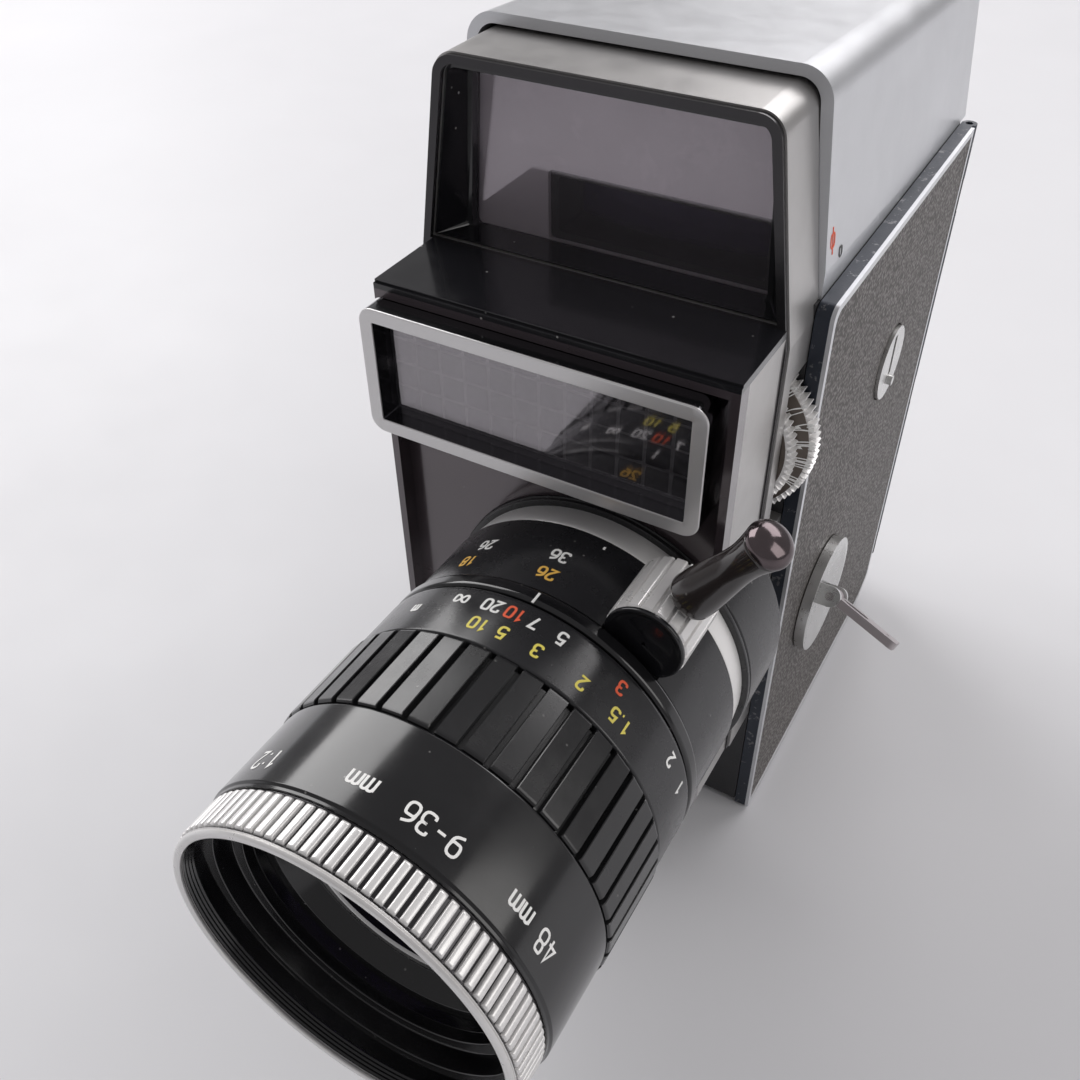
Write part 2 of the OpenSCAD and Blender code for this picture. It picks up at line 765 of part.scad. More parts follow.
module side_door() color([0.22, 0.24, 0.28]) {
    difference() {
        union() {
            along_x(door_x0, door_skin) intersection() {
                door_outline(0);
                box2([y_door - 1, 0], [hinge_y, body_h + 1]);
            }
            translate([hinge_x, hinge_y, heel_r]) cylinder(h = door_z1 - heel_r, r = hinge_r);
            // lip that closes the film chamber
            along_x(door_x0 - 1.6, door_x0 + eps) difference() {
                lip_outline(0.5);
                lip_outline(1.8);
            }
        }
        translate([hinge_x, hinge_y, -1]) cylinder(h = body_h + 2, r = hinge_pin_r + run_fit);
        for (z = knuckle_z)
            translate([door_x0 - 0.2, hinge_y - hinge_r - 0.3, z - 0.2])
                cube([door_t + 1, 2 * hinge_r + 1, knuckle_h + 0.4]);
        translate([0, lock_y, lock_z]) rod_x(door_x0 - 2, door_x1 + 1, 2.2 + run_fit);
        translate([0, -wind_y, wind_z]) rod_x(door_x0 - 2, door_x1 + 1, 3.2 + run_fit);
    }
}

module lip_outline(inset) {
    side_outline(chamber_front + inset, chamber_low + inset, chamber_back - 3 - inset,
                 chamber_high - inset, heel_r - wall - inset, 1);
}

module door_fittings_waste() {
    translate([0, lock_y, lock_z]) rod_x(door_x0, door_x1 + 1, 6.9);
    translate([0, -wind_y, wind_z]) rod_x(door_x0, door_x1 + 1, 3.6);
}

module trim_outline(inset) {
    intersection() {
        door_outline(inset);
        box2([y_door - 1, 0], [hinge_y - hinge_r - 0.4 - inset, body_h + 1]);
    }
}

module door_trim() color("gainsboro") along_x(door_skin, door_x1) difference() {
    trim_outline(0);
    trim_outline(trim_w);
}

module door_leather() color([0.36, 0.33, 0.31]) difference() {
    along_x(door_skin, door_x1 - 0.1) trim_outline(trim_w + 0.05);
    door_fittings_waste();
}

// Slotted disc with an index pin; the cam on its inner end draws the door shut
module lock_disc() color("silver") translate([0, lock_y, lock_z]) difference() {
    union() {
        rod_x(door_skin + 0.05, door_x1 + 0.5, 6.6);
        rod_x(door_x0 - 1.9, door_x1, 2.2);
        translate([door_x0 - 3.4, -2, -7]) cube([1.5, 4, 14]);
        translate([0, 0.4, -3.6]) rod_x(door_x1, door_x1 + 1.3, 0.9);
    }
    translate([door_x1 - 0.3, -0.7, -2.2]) cube([2, 1.4, 7.6]);
}

// Frame of the winding disc, turned to its place at rest
module at_winding() {
    translate([0, -wind_y, wind_z]) rotate([-wind_angle, 0, 0]) children();
}

// Dished disc with two ears for the key's pin
module winding_disc() color("silver") at_winding() difference() {
    union() {
        difference() {
            rod_x(door_x1 + 0.1, door_x1 + 1.9, wind_r);
            translate([door_x1 + 0.9 + 48, 0, 0]) sphere(48.05, $fn = fine_fn);
        }
        rod_x(dog_x, door_x1 + 0.2, 3.2);
        for (s = [-1, 1])
            translate([door_x1 + 0.6, s * (key_w / 2 + 0.9) - 0.7, -1.9]) {
                cube([2.8, 1.4, 3.8]);
                translate([2.8, 1.4, 1.9]) rotate([90, 0, 0]) cylinder(h = 1.4, r = 1.9);
            }
    }
    translate([key_pin_x, 0, 0]) rod_y(-8, 8, key_pin_r);
    // slot for the arbor's drive tongue
    translate([dog_x - 1, -1.5, -4]) cube([2.8, 3, 8]);
}

module key_pin() color("silver") at_winding() translate([key_pin_x, 0, 0]) rod_y(-key_w / 2 - 1.8, key_w / 2 + 1.8, key_pin_r);

module winding_key() color("silver") at_winding() translate([key_pin_x, 0, 0]) rotate([0, key_droop, 0]) difference() {
    union() {
        translate([0, 0, -key_t / 2]) linear_extrude(key_t) difference() {
            round_box2([-0.4, -key_w / 2], [key_len, key_w / 2], 1);
            translate([4.2, 0]) {
                translate([-1, 0]) circle(1.5);
                translate([1.6, 0]) circle(1.5);
                box2([-1, -1.5], [1.6, 1.5]);
            }
            box2([key_len - 2.6, -0.5], [key_len - 2, 0.5]);
        }
        rod_y(-key_w / 2, key_w / 2, 1.4);
    }
    rod_y(-8, 8, key_pin_r + run_fit);
}

module hinge_pin() color("silver") translate([hinge_x, hinge_y, heel_r - 6]) cylinder(h = body_h - heel_r + 5.4, r = hinge_pin_r);

// ---------- film transport and drive ----------

module film_gate() color("silver") difference() {
    translate([film_x0 - 1.4, film_plane, lens_z - 16]) cube([film_w + 2.8, 1.2, 32]);
    translate([lens_x - 2.4, film_plane - 1, lens_z - 1.75]) cube([4.8, 4, 3.5]);
    translate([claw_x - 0.3, film_plane - 1, lens_z - 12.8]) cube([1.2, 4, 6]);
}

module pressure_plate() color("dimgray") union() {
    translate([film_x0, film_plane + 1.5, lens_z - 12]) cube([film_w, 1.4, 24]);
    translate([film_x0 + 3, film_plane + 2.9 - eps, lens_z - 5]) cube([film_w - 6, 1.2, 10]);
    translate([web_high, film_plane + 2.9, lens_z - 2]) cube([film_w, 1.2, 4]);
}

module film_claw() color("silver") translate([claw_x, film_plane + 0.1, lens_z - 8.4]) union() {
    cube([0.6, 1, 1]);
    translate([0, -2.4, -3]) cube([0.6, 1.6, 5]);
    translate([0, -2.4, 0]) cube([0.6, 2.6, 1]);
}

module spool() {
    difference() {
        union() {
            rod_x(film_x0 - flange_t, film_x0, spool_r);
            rod_x(film_x1, film_x1 + flange_t, spool_r);
            rod_x(film_x0 - eps, film_x1 + eps, 8);
        }
        rod_x(0, side, spindle_r + run_fit);
        for (a = [0, 120, 240])
            rotate([a, 0, 0]) translate([0, 0, 16.5]) rod_x(film_x1 - 1, film_x1 + 3, 4);
    }
}

module supply_spool() color("silver") translate([0, spool_y, supply_z]) spool();

module takeup_spool() color("dimgray") translate([0, spool_y, takeup_z]) spool();

// Mainspring barrel with its gear, turning on the winding arbor
module spring_barrel() color("goldenrod") translate([0, -wind_y, wind_z]) difference() {
    union() {
        rod_x(-20, -5, barrel_r);
        along_x(-5 - eps, -2.6) toothed_outline(60, barrel_r, barrel_r + 1.3);
    }
    rod_x(-30, 0, arbor_r + run_fit);
}

module winding_arbor() color("silver") at_winding() union() {
    rod_x(-22.5, dog_x - 0.4, arbor_r);
    intersection() {
        rod_x(dog_x - 0.5, dog_x + 1.2, arbor_r);
        translate([dog_x - 1, -1.2, -4]) cube([4, 2.4, 8]);
    }
}

module mechanism_plate() color("silver") difference() {
    along_x(-23, -21.4) side_outline(chamber_front + 0.3, chamber_low + 0.3, chamber_back - 0.3,
                                     chamber_high - 0.3, heel_r - wall, 1);
    translate([0, -wind_y, wind_z]) rod_x(-30, 0, arbor_r + run_fit);
    cover_screw_places() rod_x(-30, -20, 1.2);
    translate([0, 22, 60]) rod_x(-30, 0, 9);
}

module shutter_disc() color([0.1, 0.1, 0.1]) translate([shutter_x, 0, shutter_z]) union() {
    along_y(y_door - 2.4, y_door - 1.8) difference() {
        circle(shutter_r);
        intersection() {
            difference() {
                circle(shutter_r - 1.2);
                circle(9);
            }
            rotate(100) box2([0, 0], [shutter_r, shutter_r]);
        }
    }
    rod_y(y_door - 3, chamber_front + 6, 1.5);
}

module release_button() color("silver") translate([release_x, 0, release_z]) union() {
    rod_y(y_plate - 7, y_plate - 3.2, release_r);
    rod_y(y_plate - 3.3, y_plate + 6, release_r - 1.4 - run_fit);
}

// ---------- assembly ----------

chassis();
base_plate();
tripod_bush();
left_cover();
left_leather();
cover_screws();
top_housing();
front_cover();
hood_rim();
hood_lining();
finder_window();
finder_tunnel();
finder_lens();
eyepiece();
eyecup();
front_block();
shelf_plate();
front_plate();
cell_frame();
cell_window();
selenium_cell();
lens_boss();
lens_flange();
lens_tube();
index_ring();
relay_lens();
film_gate();
pressure_plate();
hinge_pin();
mechanism_plate();
dial_shaft();
side_door();
door_trim();
door_leather();
lock_disc();
winding_disc();
key_pin();
winding_key();
winding_arbor();
zoom_ring();
zoom_knob();
knob_cap();
zoom_lever();
lever_cap();
variator_lens();
focus_ring();
focus_grip();
front_barrel();
filter_ring();
front_bezel();
front_cell();
front_element();
speed_dial();
film_dial();
release_button();
spring_barrel();
shutter_disc();
film_claw();
supply_spool();
takeup_spool();
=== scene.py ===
"""Looks of the cine camera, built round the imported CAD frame.

Lengths here are in millimetres and become metres in the meshes.
"""
import bpy
import bmesh
import math
from mathutils import Matrix, Vector


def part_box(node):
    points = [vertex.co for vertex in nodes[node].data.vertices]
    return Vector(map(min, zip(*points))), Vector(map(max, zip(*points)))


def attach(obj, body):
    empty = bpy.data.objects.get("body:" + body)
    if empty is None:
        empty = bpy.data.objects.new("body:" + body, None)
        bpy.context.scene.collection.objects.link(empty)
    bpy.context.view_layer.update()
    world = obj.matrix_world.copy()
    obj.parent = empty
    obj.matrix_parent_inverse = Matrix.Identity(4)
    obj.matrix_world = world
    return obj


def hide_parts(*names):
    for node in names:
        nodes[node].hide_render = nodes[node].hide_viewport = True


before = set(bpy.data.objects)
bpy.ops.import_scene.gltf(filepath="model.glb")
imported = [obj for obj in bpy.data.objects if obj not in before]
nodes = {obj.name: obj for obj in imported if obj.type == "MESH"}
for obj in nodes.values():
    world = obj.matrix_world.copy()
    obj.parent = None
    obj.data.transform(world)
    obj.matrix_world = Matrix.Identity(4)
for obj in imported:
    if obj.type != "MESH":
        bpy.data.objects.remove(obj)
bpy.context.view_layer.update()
MM = 0.001


def low(node, axis):
    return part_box(node)[0]["xyz".index(axis)] / MM


def high(node, axis):
    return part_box(node)[1]["xyz".index(axis)] / MM


def middle(node, axis):
    return (low(node, axis) + high(node, axis)) / 2


# ---------- places taken from the frame ----------

LENS_X = middle("focus_ring", "x")
LENS_Z = middle("focus_ring", "z")
# radius of the lens rings, of the tube inside them, and half the housing's width
LENS_R = 25.8
TUBE_R = 21.05
SIDE = 28.7
SHELF = high("shelf_plate", "z")
HOOD_TOP = high("front_cover", "z")
HOUSING_TOP = high("top_housing", "z")
HOUSING_FRONT = low("top_housing", "y")
BODY_TOP = high("chassis", "z")


# ---------- materials ----------

def link(tree, out, into):
    tree.links.new(out, into)


def add(tree, kind, **settings):
    node = tree.nodes.new(kind)
    for key, value in settings.items():
        if key in node.inputs.keys():
            node.inputs[key].default_value = value
        else:
            setattr(node, key, value)
    return node


def noise(tree, coords, scale, detail=3.0, rough=0.55, stretch=None):
    """A noise value over the object, with stretch giving longer grain along an axis."""
    if stretch:
        mapping = add(tree, "ShaderNodeMapping")
        mapping.inputs["Scale"].default_value = stretch
        link(tree, coords, mapping.inputs["Vector"])
        coords = mapping.outputs["Vector"]
    n = add(tree, "ShaderNodeTexNoise", Scale=scale, Detail=detail, Roughness=rough)
    link(tree, coords, n.inputs["Vector"])
    return n.outputs["Fac"]


def remap(tree, value, a, b, c, d):
    m = add(tree, "ShaderNodeMapRange")
    for socket, number in zip(("From Min", "From Max", "To Min", "To Max"), (a, b, c, d)):
        m.inputs[socket].default_value = number
    link(tree, value, m.inputs["Value"])
    return m.outputs["Result"]


def mix_colour(tree, factor, a, b):
    m = add(tree, "ShaderNodeMix", data_type="RGBA")
    for socket, value in ((m.inputs[0], factor), (m.inputs[6], a), (m.inputs[7], b)):
        if isinstance(value, bpy.types.NodeSocket):
            link(tree, value, socket)
        else:
            socket.default_value = value if isinstance(value, float) else (*value, 1.0)
    return m.outputs[2]


def scaled(colour, k):
    return tuple(min(1.0, c * k) for c in colour)


MATERIALS = {}


def material(name, base, rough, metal=0.0, tint=0.08, patch=60.0, smear=0.07, grain=0.1,
             grain_scale=3000.0, stretch=None, dust=0.0, wear_and_edge_highlight=0.0, wear_and_highlight_colour=(0.55, 0.54, 0.52),
             scratches=0.0, **sockets):
    """A metal, paint or glass with patchy colour, smeared gloss, a fine surface grain, dust, and wear chips
    that on black_edge also serve as a painted edge highlight.
    """
    m = bpy.data.materials.new(name)
    m.use_nodes = True
    tree = m.node_tree
    shader = tree.nodes["Principled BSDF"]
    coords = add(tree, "ShaderNodeTexCoord").outputs["Object"]
    patches = noise(tree, coords, patch, 4.0)
    colour = mix_colour(tree, remap(tree, patches, 0.3, 0.7, 0.0, 1.0),
                        scaled(base, 1 - tint), scaled(base, 1 + tint))
    fine = noise(tree, coords, grain_scale, 2.0, 0.6, stretch)
    roughness = remap(tree, noise(tree, coords, patch * 3.1, 5.0, 0.65), 0.25, 0.75,
                      max(0.02, rough - smear), rough + smear)
    metallic = None
    if scratches:
        streaks = noise(tree, coords, 700.0, 2.0, 0.5, (1.0, 14.0, 0.7))
        mark = remap(tree, streaks, 0.69, 0.72, 0.0, scratches)
        colour = mix_colour(tree, mark, colour, scaled(base, 1.6))
    if dust:
        cells = add(tree, "ShaderNodeTexVoronoi", Scale=420.0, Randomness=1.0)
        link(tree, coords, cells.inputs["Vector"])
        chance = noise(tree, coords, 330.0, 1.0)
        spot = remap(tree, cells.outputs["Distance"], 0.05, 0.09, dust, 0.0)
        few = remap(tree, chance, 0.54, 0.58, 0.0, 1.0)
        both = add(tree, "ShaderNodeMath", operation="MULTIPLY")
        link(tree, spot, both.inputs[0])
        link(tree, few, both.inputs[1])
        colour = mix_colour(tree, both.outputs[0], colour, (0.55, 0.54, 0.52))
    # lighter chips on the edges: wear, and on black_edge also a painted highlight along the bevels
    if wear_and_edge_highlight:
        chips_and_edge_highlight = remap(tree, noise(tree, coords, 520.0, 6.0, 0.7), 0.62 - wear_and_edge_highlight, 0.66 - wear_and_edge_highlight, 0.0, 1.0)
        colour = mix_colour(tree, chips_and_edge_highlight, colour, wear_and_highlight_colour)
        metallic = remap(tree, chips_and_edge_highlight, 0.0, 1.0, metal, 0.9)
    link(tree, colour, shader.inputs["Base Color"])
    link(tree, roughness, shader.inputs["Roughness"])
    if metallic is not None:
        link(tree, metallic, shader.inputs["Metallic"])
    else:
        shader.inputs["Metallic"].default_value = metal
    if grain:
        bump = add(tree, "ShaderNodeBump", Strength=grain, Distance=0.00004)
        link(tree, fine, bump.inputs["Height"])
        link(tree, bump.outputs["Normal"], shader.inputs["Normal"])
    for key, value in sockets.items():
        shader.inputs[key.replace("_", " ")].default_value = value
    MATERIALS[name] = m
    return m


def leather(name, base, cell, depth):
    """Pebbled leatherette: rounded grains of the given size in millimetres, with painted shade darkening the
    creases.
    """
    m = bpy.data.materials.new(name)
    m.use_nodes = True
    tree = m.node_tree
    shader = tree.nodes["Principled BSDF"]
    coords = add(tree, "ShaderNodeTexCoord").outputs["Object"]
    wobble = add(tree, "ShaderNodeTexNoise", Scale=500.0, Detail=2.0)
    link(tree, coords, wobble.inputs["Vector"])
    shift = add(tree, "ShaderNodeVectorMath", operation="MULTIPLY_ADD")
    shift.inputs[1].default_value = (0.0006,) * 3
    link(tree, wobble.outputs["Color"], shift.inputs[0])
    link(tree, coords, shift.inputs[2])
    grains = add(tree, "ShaderNodeTexVoronoi", feature="SMOOTH_F1", Scale=1000.0 / cell)
    grains.inputs["Smoothness"].default_value = 0.35
    link(tree, shift.outputs[0], grains.inputs["Vector"])
    crease_shade = remap(tree, grains.outputs["Distance"], 0.25, 0.62, 0.0, 1.0)
    patches = remap(tree, noise(tree, coords, 45.0, 4.0), 0.3, 0.7, 0.0, 1.0)
    top = mix_colour(tree, patches, scaled(base, 0.9), scaled(base, 1.12))
    # painted shade: the creases between the grains are darkened to 0.45 of the base colour
    colour = mix_colour(tree, crease_shade, top, scaled(base, 0.45))
    link(tree, colour, shader.inputs["Base Color"])
    link(tree, remap(tree, grains.outputs["Distance"], 0.1, 0.6, 0.34, 0.62), shader.inputs["Roughness"])
    bump = add(tree, "ShaderNodeBump", Strength=0.85, Distance=depth * MM)
    bump.invert = True
    link(tree, grains.outputs["Distance"], bump.inputs["Height"])
    link(tree, bump.outputs["Normal"], shader.inputs["Normal"])
    MATERIALS[name] = m
    return m


material("silver_satin", (0.66, 0.67, 0.69), 0.36, 0.75, tint=0.03, smear=0.05, grain=0.25,
         grain_scale=5200.0)
material("grey_satin", (0.50, 0.49, 0.48), 0.33, 0.8, tint=0.05, smear=0.06, grain=0.2, grain_scale=4200.0)
material("black_gloss", (0.010, 0.010, 0.012), 0.17, 0.0, tint=0.2, smear=0.06, grain=0.06, dust=0.7,
         Coat_Weight=0.35, Coat_Roughness=0.08)
# black_edge: its light chips on the plates' bevels are wear and also a painted highlight for the bright edge
# lines
material("black_edge", (0.012, 0.012, 0.013), 0.2, 0.0, smear=0.08, wear_and_edge_highlight=0.12, grain=0.1,
         Coat_Weight=0.2, Coat_Roughness=0.1)
material("black_chrome", (0.055, 0.053, 0.056), 0.16, 0.75, tint=0.1, smear=0.06, grain=0.1)
material("black_plate", (0.085, 0.066, 0.074), 0.22, 0.45, tint=0.08, smear=0.06, grain=0.1, dust=0.4,
         Coat_Weight=0.6, Coat_Roughness=0.12, Coat_IOR=1.8)
material("lens_black", (0.016, 0.016, 0.018), 0.27, 0.0, tint=0.15, smear=0.07, grain=0.12, dust=0.25,
         scratches=0.12, Coat_Weight=0.25, Coat_Roughness=0.15)
material("lens_gloss", (0.007, 0.007, 0.008), 0.17, 0.0, tint=0.15, smear=0.05, grain=0.05, dust=0.3,
         Coat_Weight=0.4, Coat_Roughness=0.1)
material("rib_black", (0.014, 0.014, 0.015), 0.24, 0.0, tint=0.2, smear=0.08, grain=0.1, dust=0.2,
         Coat_Weight=0.3, Coat_Roughness=0.12)
material("matt_black", (0.012, 0.012, 0.012), 0.6, 0.0, tint=0.25, smear=0.1, grain=0.5, grain_scale=2600.0)
material("wrinkle_black", (0.022, 0.022, 0.024), 0.5, 0.0, tint=0.2, smear=0.1, grain=0.9, grain_scale=1900.0)
material("chrome", (0.80, 0.80, 0.80), 0.12, 1.0, tint=0.05, smear=0.06, grain=0.06, patch=160.0)
material("satin_chrome", (0.66, 0.66, 0.65), 0.3, 1.0, tint=0.06, smear=0.09, grain=0.25, patch=120.0,
         scratches=0.2)
material("pale_chrome", (0.84, 0.83, 0.82), 0.3, 0.45, tint=0.03, smear=0.05, grain=0.08, patch=90.0)
material("flange_silver", (0.88, 0.87, 0.86), 0.34, 0.15, tint=0.04, smear=0.06, grain=0.12, patch=90.0)
material("steel", (0.60, 0.58, 0.57), 0.24, 1.0, tint=0.07, smear=0.08, grain=0.35, grain_scale=1500.0,
         stretch=(1.0, 9.0, 9.0))
material("key_satin", (0.46, 0.42, 0.43), 0.42, 0.55, tint=0.04, smear=0.06, grain=0.2, grain_scale=2400.0)
material("brass", (0.62, 0.43, 0.17), 0.32, 1.0, tint=0.1, smear=0.1, grain=0.25)
material("door_blue", (0.030, 0.036, 0.050), 0.36, 0.35, tint=0.12, smear=0.09, grain=0.35,
         grain_scale=3600.0,
         wear_and_edge_highlight=0.03, wear_and_highlight_colour=(0.2, 0.2, 0.21))
material("rubber", (0.018, 0.018, 0.018), 0.62, 0.0, tint=0.2, smear=0.1, grain=0.6, grain_scale=2200.0)
material("dial_brown", (0.115, 0.095, 0.080), 0.34, 0.4, tint=0.12, smear=0.08, grain=0.2)
material("selenium", (0.050, 0.040, 0.055), 0.3, 0.5, tint=0.15, smear=0.08, grain=0.2)
material("finder_glass", (0.50, 0.46, 0.50), 0.05, 0.9, tint=0.05, smear=0.02, grain=0.0, dust=0.5,
         Alpha=0.22)
material("cell_glass", (0.26, 0.25, 0.28), 0.14, 0.0, tint=0.05, smear=0.05, grain=0.0, Alpha=0.7, IOR=1.8)
material("cell_line", (0.80, 0.78, 0.82), 0.25, 0.0, tint=0.04, smear=0.05, Alpha=0.9)
material("lens_glass", (0.80, 0.83, 0.90), 0.03, 0.0, tint=0.03, smear=0.01, grain=0.0,
         Transmission_Weight=0.95, IOR=1.52, Coat_Weight=1.0, Coat_Tint=(0.75, 0.6, 1.0, 1.0),
         Coat_Roughness=0.03)
# pale lilac colour of the board behind the finder pane: a painted reflection of the room in the glass
material("finder_painted_reflection", (0.62, 0.56, 0.61), 0.25, 0.0, tint=0.05, smear=0.06, grain=0.03, dust=0.2)
material("cell_pane", (0.42, 0.40, 0.42), 0.05, 1.0, tint=0.03, smear=0.02, grain=0.0, dust=0.4, Alpha=0.5)
material("frame_chrome", (0.72, 0.71, 0.71), 0.3, 0.6, tint=0.015, smear=0.02, grain=0.0, patch=40.0)
# a dark copy of the cell frame's chrome for its side faces: painted shade
material("frame_side_shade", (0.16, 0.16, 0.17), 0.12, 1.0, tint=0.03, smear=0.03, grain=0.0, patch=60.0)
material("lever_gloss", (0.022, 0.017, 0.016), 0.16, 0.0, tint=0.15, smear=0.05, grain=0.05, dust=0.2,
         Coat_Weight=0.5, Coat_Roughness=0.08)
material("dark_chrome", (0.135, 0.110, 0.115), 0.14, 0.9, tint=0.08, smear=0.05, grain=0.05, patch=300.0)
material("engraved", (0.10, 0.10, 0.10), 0.6, 0.0, tint=0.1)
material("paint_white", (0.94, 0.94, 0.92), 0.5, 0.0, tint=0.03)
material("paint_yellow", (0.86, 0.74, 0.14), 0.5, 0.0, tint=0.05)
material("paint_amber", (0.88, 0.52, 0.10), 0.5, 0.0, tint=0.05)
material("paint_red", (0.90, 0.13, 0.05), 0.5, 0.0, tint=0.05)
leather("leatherette", (0.150, 0.136, 0.128), 0.62, 0.13)

NODE_LOOKS = {
    "silver_satin": ["base_plate", "left_cover", "top_housing", "door_trim", "supply_spool"],
    "grey_satin": ["front_cover", "front_block"],
    "black_gloss": ["shelf_plate", "knob_cap"],
    "black_chrome": ["hood_rim"],
    "black_plate": ["front_plate"],
    "lens_black": ["lens_boss", "zoom_ring", "index_ring", "focus_ring", "front_barrel", "zoom_lever",
                   "eyepiece"],
    "rib_black": ["focus_grip"],
    "matt_black": ["hood_lining", "finder_tunnel", "lens_tube", "front_cell", "pressure_plate",
                   "shutter_disc", "takeup_spool"],
    "wrinkle_black": ["chassis"],
    "chrome": ["zoom_knob", "lever_cap", "filter_ring", "speed_dial", "film_dial", "release_button"],
    "satin_chrome": ["cell_frame", "lens_flange", "lock_disc", "winding_disc"],
    "pale_chrome": ["front_bezel"],
    "steel": ["tripod_bush", "cover_screws", "film_gate", "hinge_pin", "dial_shaft", "key_pin",
              "winding_arbor", "film_claw"],
    "key_satin": ["winding_key"],
    "brass": ["mechanism_plate", "spring_barrel"],
    "door_blue": ["side_door"],
    "rubber": ["eyecup"],
    "selenium": ["selenium_cell"],
    "finder_glass": ["finder_window"],
    "cell_glass": ["cell_window"],
    "lens_glass": ["finder_lens", "relay_lens", "variator_lens", "front_element"],
    "leatherette": ["left_leather", "door_leather"],
}
for look, names in NODE_LOOKS.items():
    for name in names:
        nodes[name].material_slots[0].material = MATERIALS[look]


# ---------- mesh helpers ----------

def finish_mesh(name, verts, faces, looks, body, face_looks=None, sharp=32.0):
    """A smooth-shaded piece from points in millimetres, riding on a body."""
    mesh = bpy.data.meshes.new(name)
    mesh.from_pydata([Vector(v) * MM for v in verts], [], faces)
    for look in looks:
        mesh.materials.append(MATERIALS[look])
    if face_looks:
        mesh.polygons.foreach_set("material_index", face_looks)
    bm = bmesh.new()
    bm.from_mesh(mesh)
    bmesh.ops.remove_doubles(bm, verts=bm.verts, dist=1e-7)
    bmesh.ops.recalc_face_normals(bm, faces=bm.faces)
    bm.to_mesh(mesh)
    bm.free()
    return finish_object(name, mesh, body, sharp)


def finish_object(name, mesh, body, sharp=32.0):
    mesh.polygons.foreach_set("use_smooth", [True] * len(mesh.polygons))
    mesh.set_sharp_from_angle(angle=math.radians(sharp))
    piece = bpy.data.objects.new(name, mesh)
    bpy.context.scene.collection.objects.link(piece)
    even = piece.modifiers.new("even", "WEIGHTED_NORMAL")
    even.keep_sharp = True
    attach(piece, body)
    return piece


def soften(points, steps=3, closed=True):
    """Rounds the corners of an outline whose points are (a, b, radius)."""
    out = []
    for i, (a, b, r) in enumerate(points):
        if r <= 0 or (not closed and i in (0, len(points) - 1)):
            out.append((a, b))
            continue
        here = Vector((a, b))
        before, after = Vector(points[i - 1][:2]), Vector(points[(i + 1) % len(points)][:2])
        u, v = before - here, after - here
        start = here + u.normalized() * min(r, 0.48 * u.length)
        end = here + v.normalized() * min(r, 0.48 * v.length)
        for k in range(steps + 1):
            t = k / steps
            out.append(tuple((1 - t) ** 2 * start + 2 * t * (1 - t) * here + t * t * end))
    return out


def loft(name, loops, looks, body, closed=True, face_looks=None, sharp=32.0):
    """Joins loops of equally many points.

    closed joins the last loop to the first, else both ends are capped."""
    count = len(loops[0])
    verts = [p for loop in loops for p in loop]
    faces, kinds = [], []
    for i in range(len(loops) if closed else len(loops) - 1):
        j = (i + 1) % len(loops)
        for k in range(count):
            m = (k + 1) % count
            faces.append((i * count + k, i * count + m, j * count + m, j * count + k))
            kinds.append(face_looks[i] if face_looks else 0)
    if not closed:
        faces.append(tuple(range(count)))
        faces.append(tuple((len(loops) - 1) * count + k for k in range(count)))
        kinds += [kinds[0], kinds[-1]]
    return finish_mesh(name, verts, faces, looks, body, kinds if len(looks) > 1 else None, sharp)


def turned(name, profile, looks, body, centre=(LENS_X, LENS_Z), axis="y", segments=180, closed=True,
           face_looks=None, sharp=32.0):
    """A turned part. The profile's points are (station, radius, corner radius)."""
    loops = []
    for a, r in soften(profile, 3, closed):
        ring = []
        for k in range(segments):
            t = 2 * math.pi * k / segments
            p, q = centre[0] + r * math.cos(t), centre[1] + r * math.sin(t)
            ring.append((p, a, q) if axis == "y" else (a, p, q))
        loops.append(ring)
    return loft(name, loops, looks, body, closed, face_looks, sharp)


def toothed(name, tooth, count, stations, inner, looks, body, centre=(LENS_X, LENS_Z), sharp=25.0):
    """A ring with teeth.

    tooth lists (share of the pitch, radius), and stations lists (along Y, drop of the radius)."""
    loops = []
    angles = [(2 * math.pi * (i + share) / count, r) for i in range(count) for share, r in tooth]

    def ring(y, radius_of):
        return [(centre[0] + radius_of(r) * math.cos(t), y, centre[1] + radius_of(r) * math.sin(t))
                for t, r in angles]
    loops.append(ring(stations[0][0], lambda r: inner))
    for y, drop in stations:
        loops.append(ring(y, lambda r, d=drop: max(r - d, inner + 0.05)))
    loops.append(ring(stations[-1][0], lambda r: inner))
    return loft(name, loops, looks, body, True, None, sharp)


def outline(corners, insets, steps=8):
    """A convex outline, anticlockwise, drawn in by an inset for each edge, with its corners rounded.
    corners lists (a, b, radius); insets is one number or one per edge."""
    count = len(corners)
    if not isinstance(insets, (list, tuple)):
        insets = [insets] * count
    lines = []
    for i in range(count):
        a, b = Vector(corners[i][:2]), Vector(corners[(i + 1) % count][:2])
        d = (b - a).normalized()
        lines.append((a + Vector((-d.y, d.x)) * insets[i], d))
    points = []
    for i in range(count):
        (p, u), (q, v) = lines[i - 1], lines[i]
        cross = u.x * v.y - u.y * v.x
        corner = p + u * (((q - p).x * v.y - (q - p).y * v.x) / cross)
        turn = math.atan2(cross, u.dot(v))
        r = max(corners[i][2] - max(insets[i - 1], insets[i]), 0.03)
        start = corner - u * r * math.tan(turn / 2)
        centre = start + Vector((-u.y, u.x)) * r
        first = math.atan2(start.y - centre.y, start.x - centre.x)
        for k in range(steps + 1):
            t = first + turn * k / steps
            points.append((centre.x + r * math.cos(t), centre.y + r * math.sin(t)))
    return points


def swept(name, corners, profile, looks, body, plane="xz", closed=True, face_looks=None, steps=8, sharp=32.0):
    """An outline carried along Y or X. The profile's points are (inset or insets, station)."""
    loops = []
    for insets, station in profile:
        flat = outline(corners, insets, steps)
        loops.append([(a, station, b) if plane == "xz" else (station, a, b) for a, b in flat])
    return loft(name, loops, looks, body, closed, face_looks, sharp)


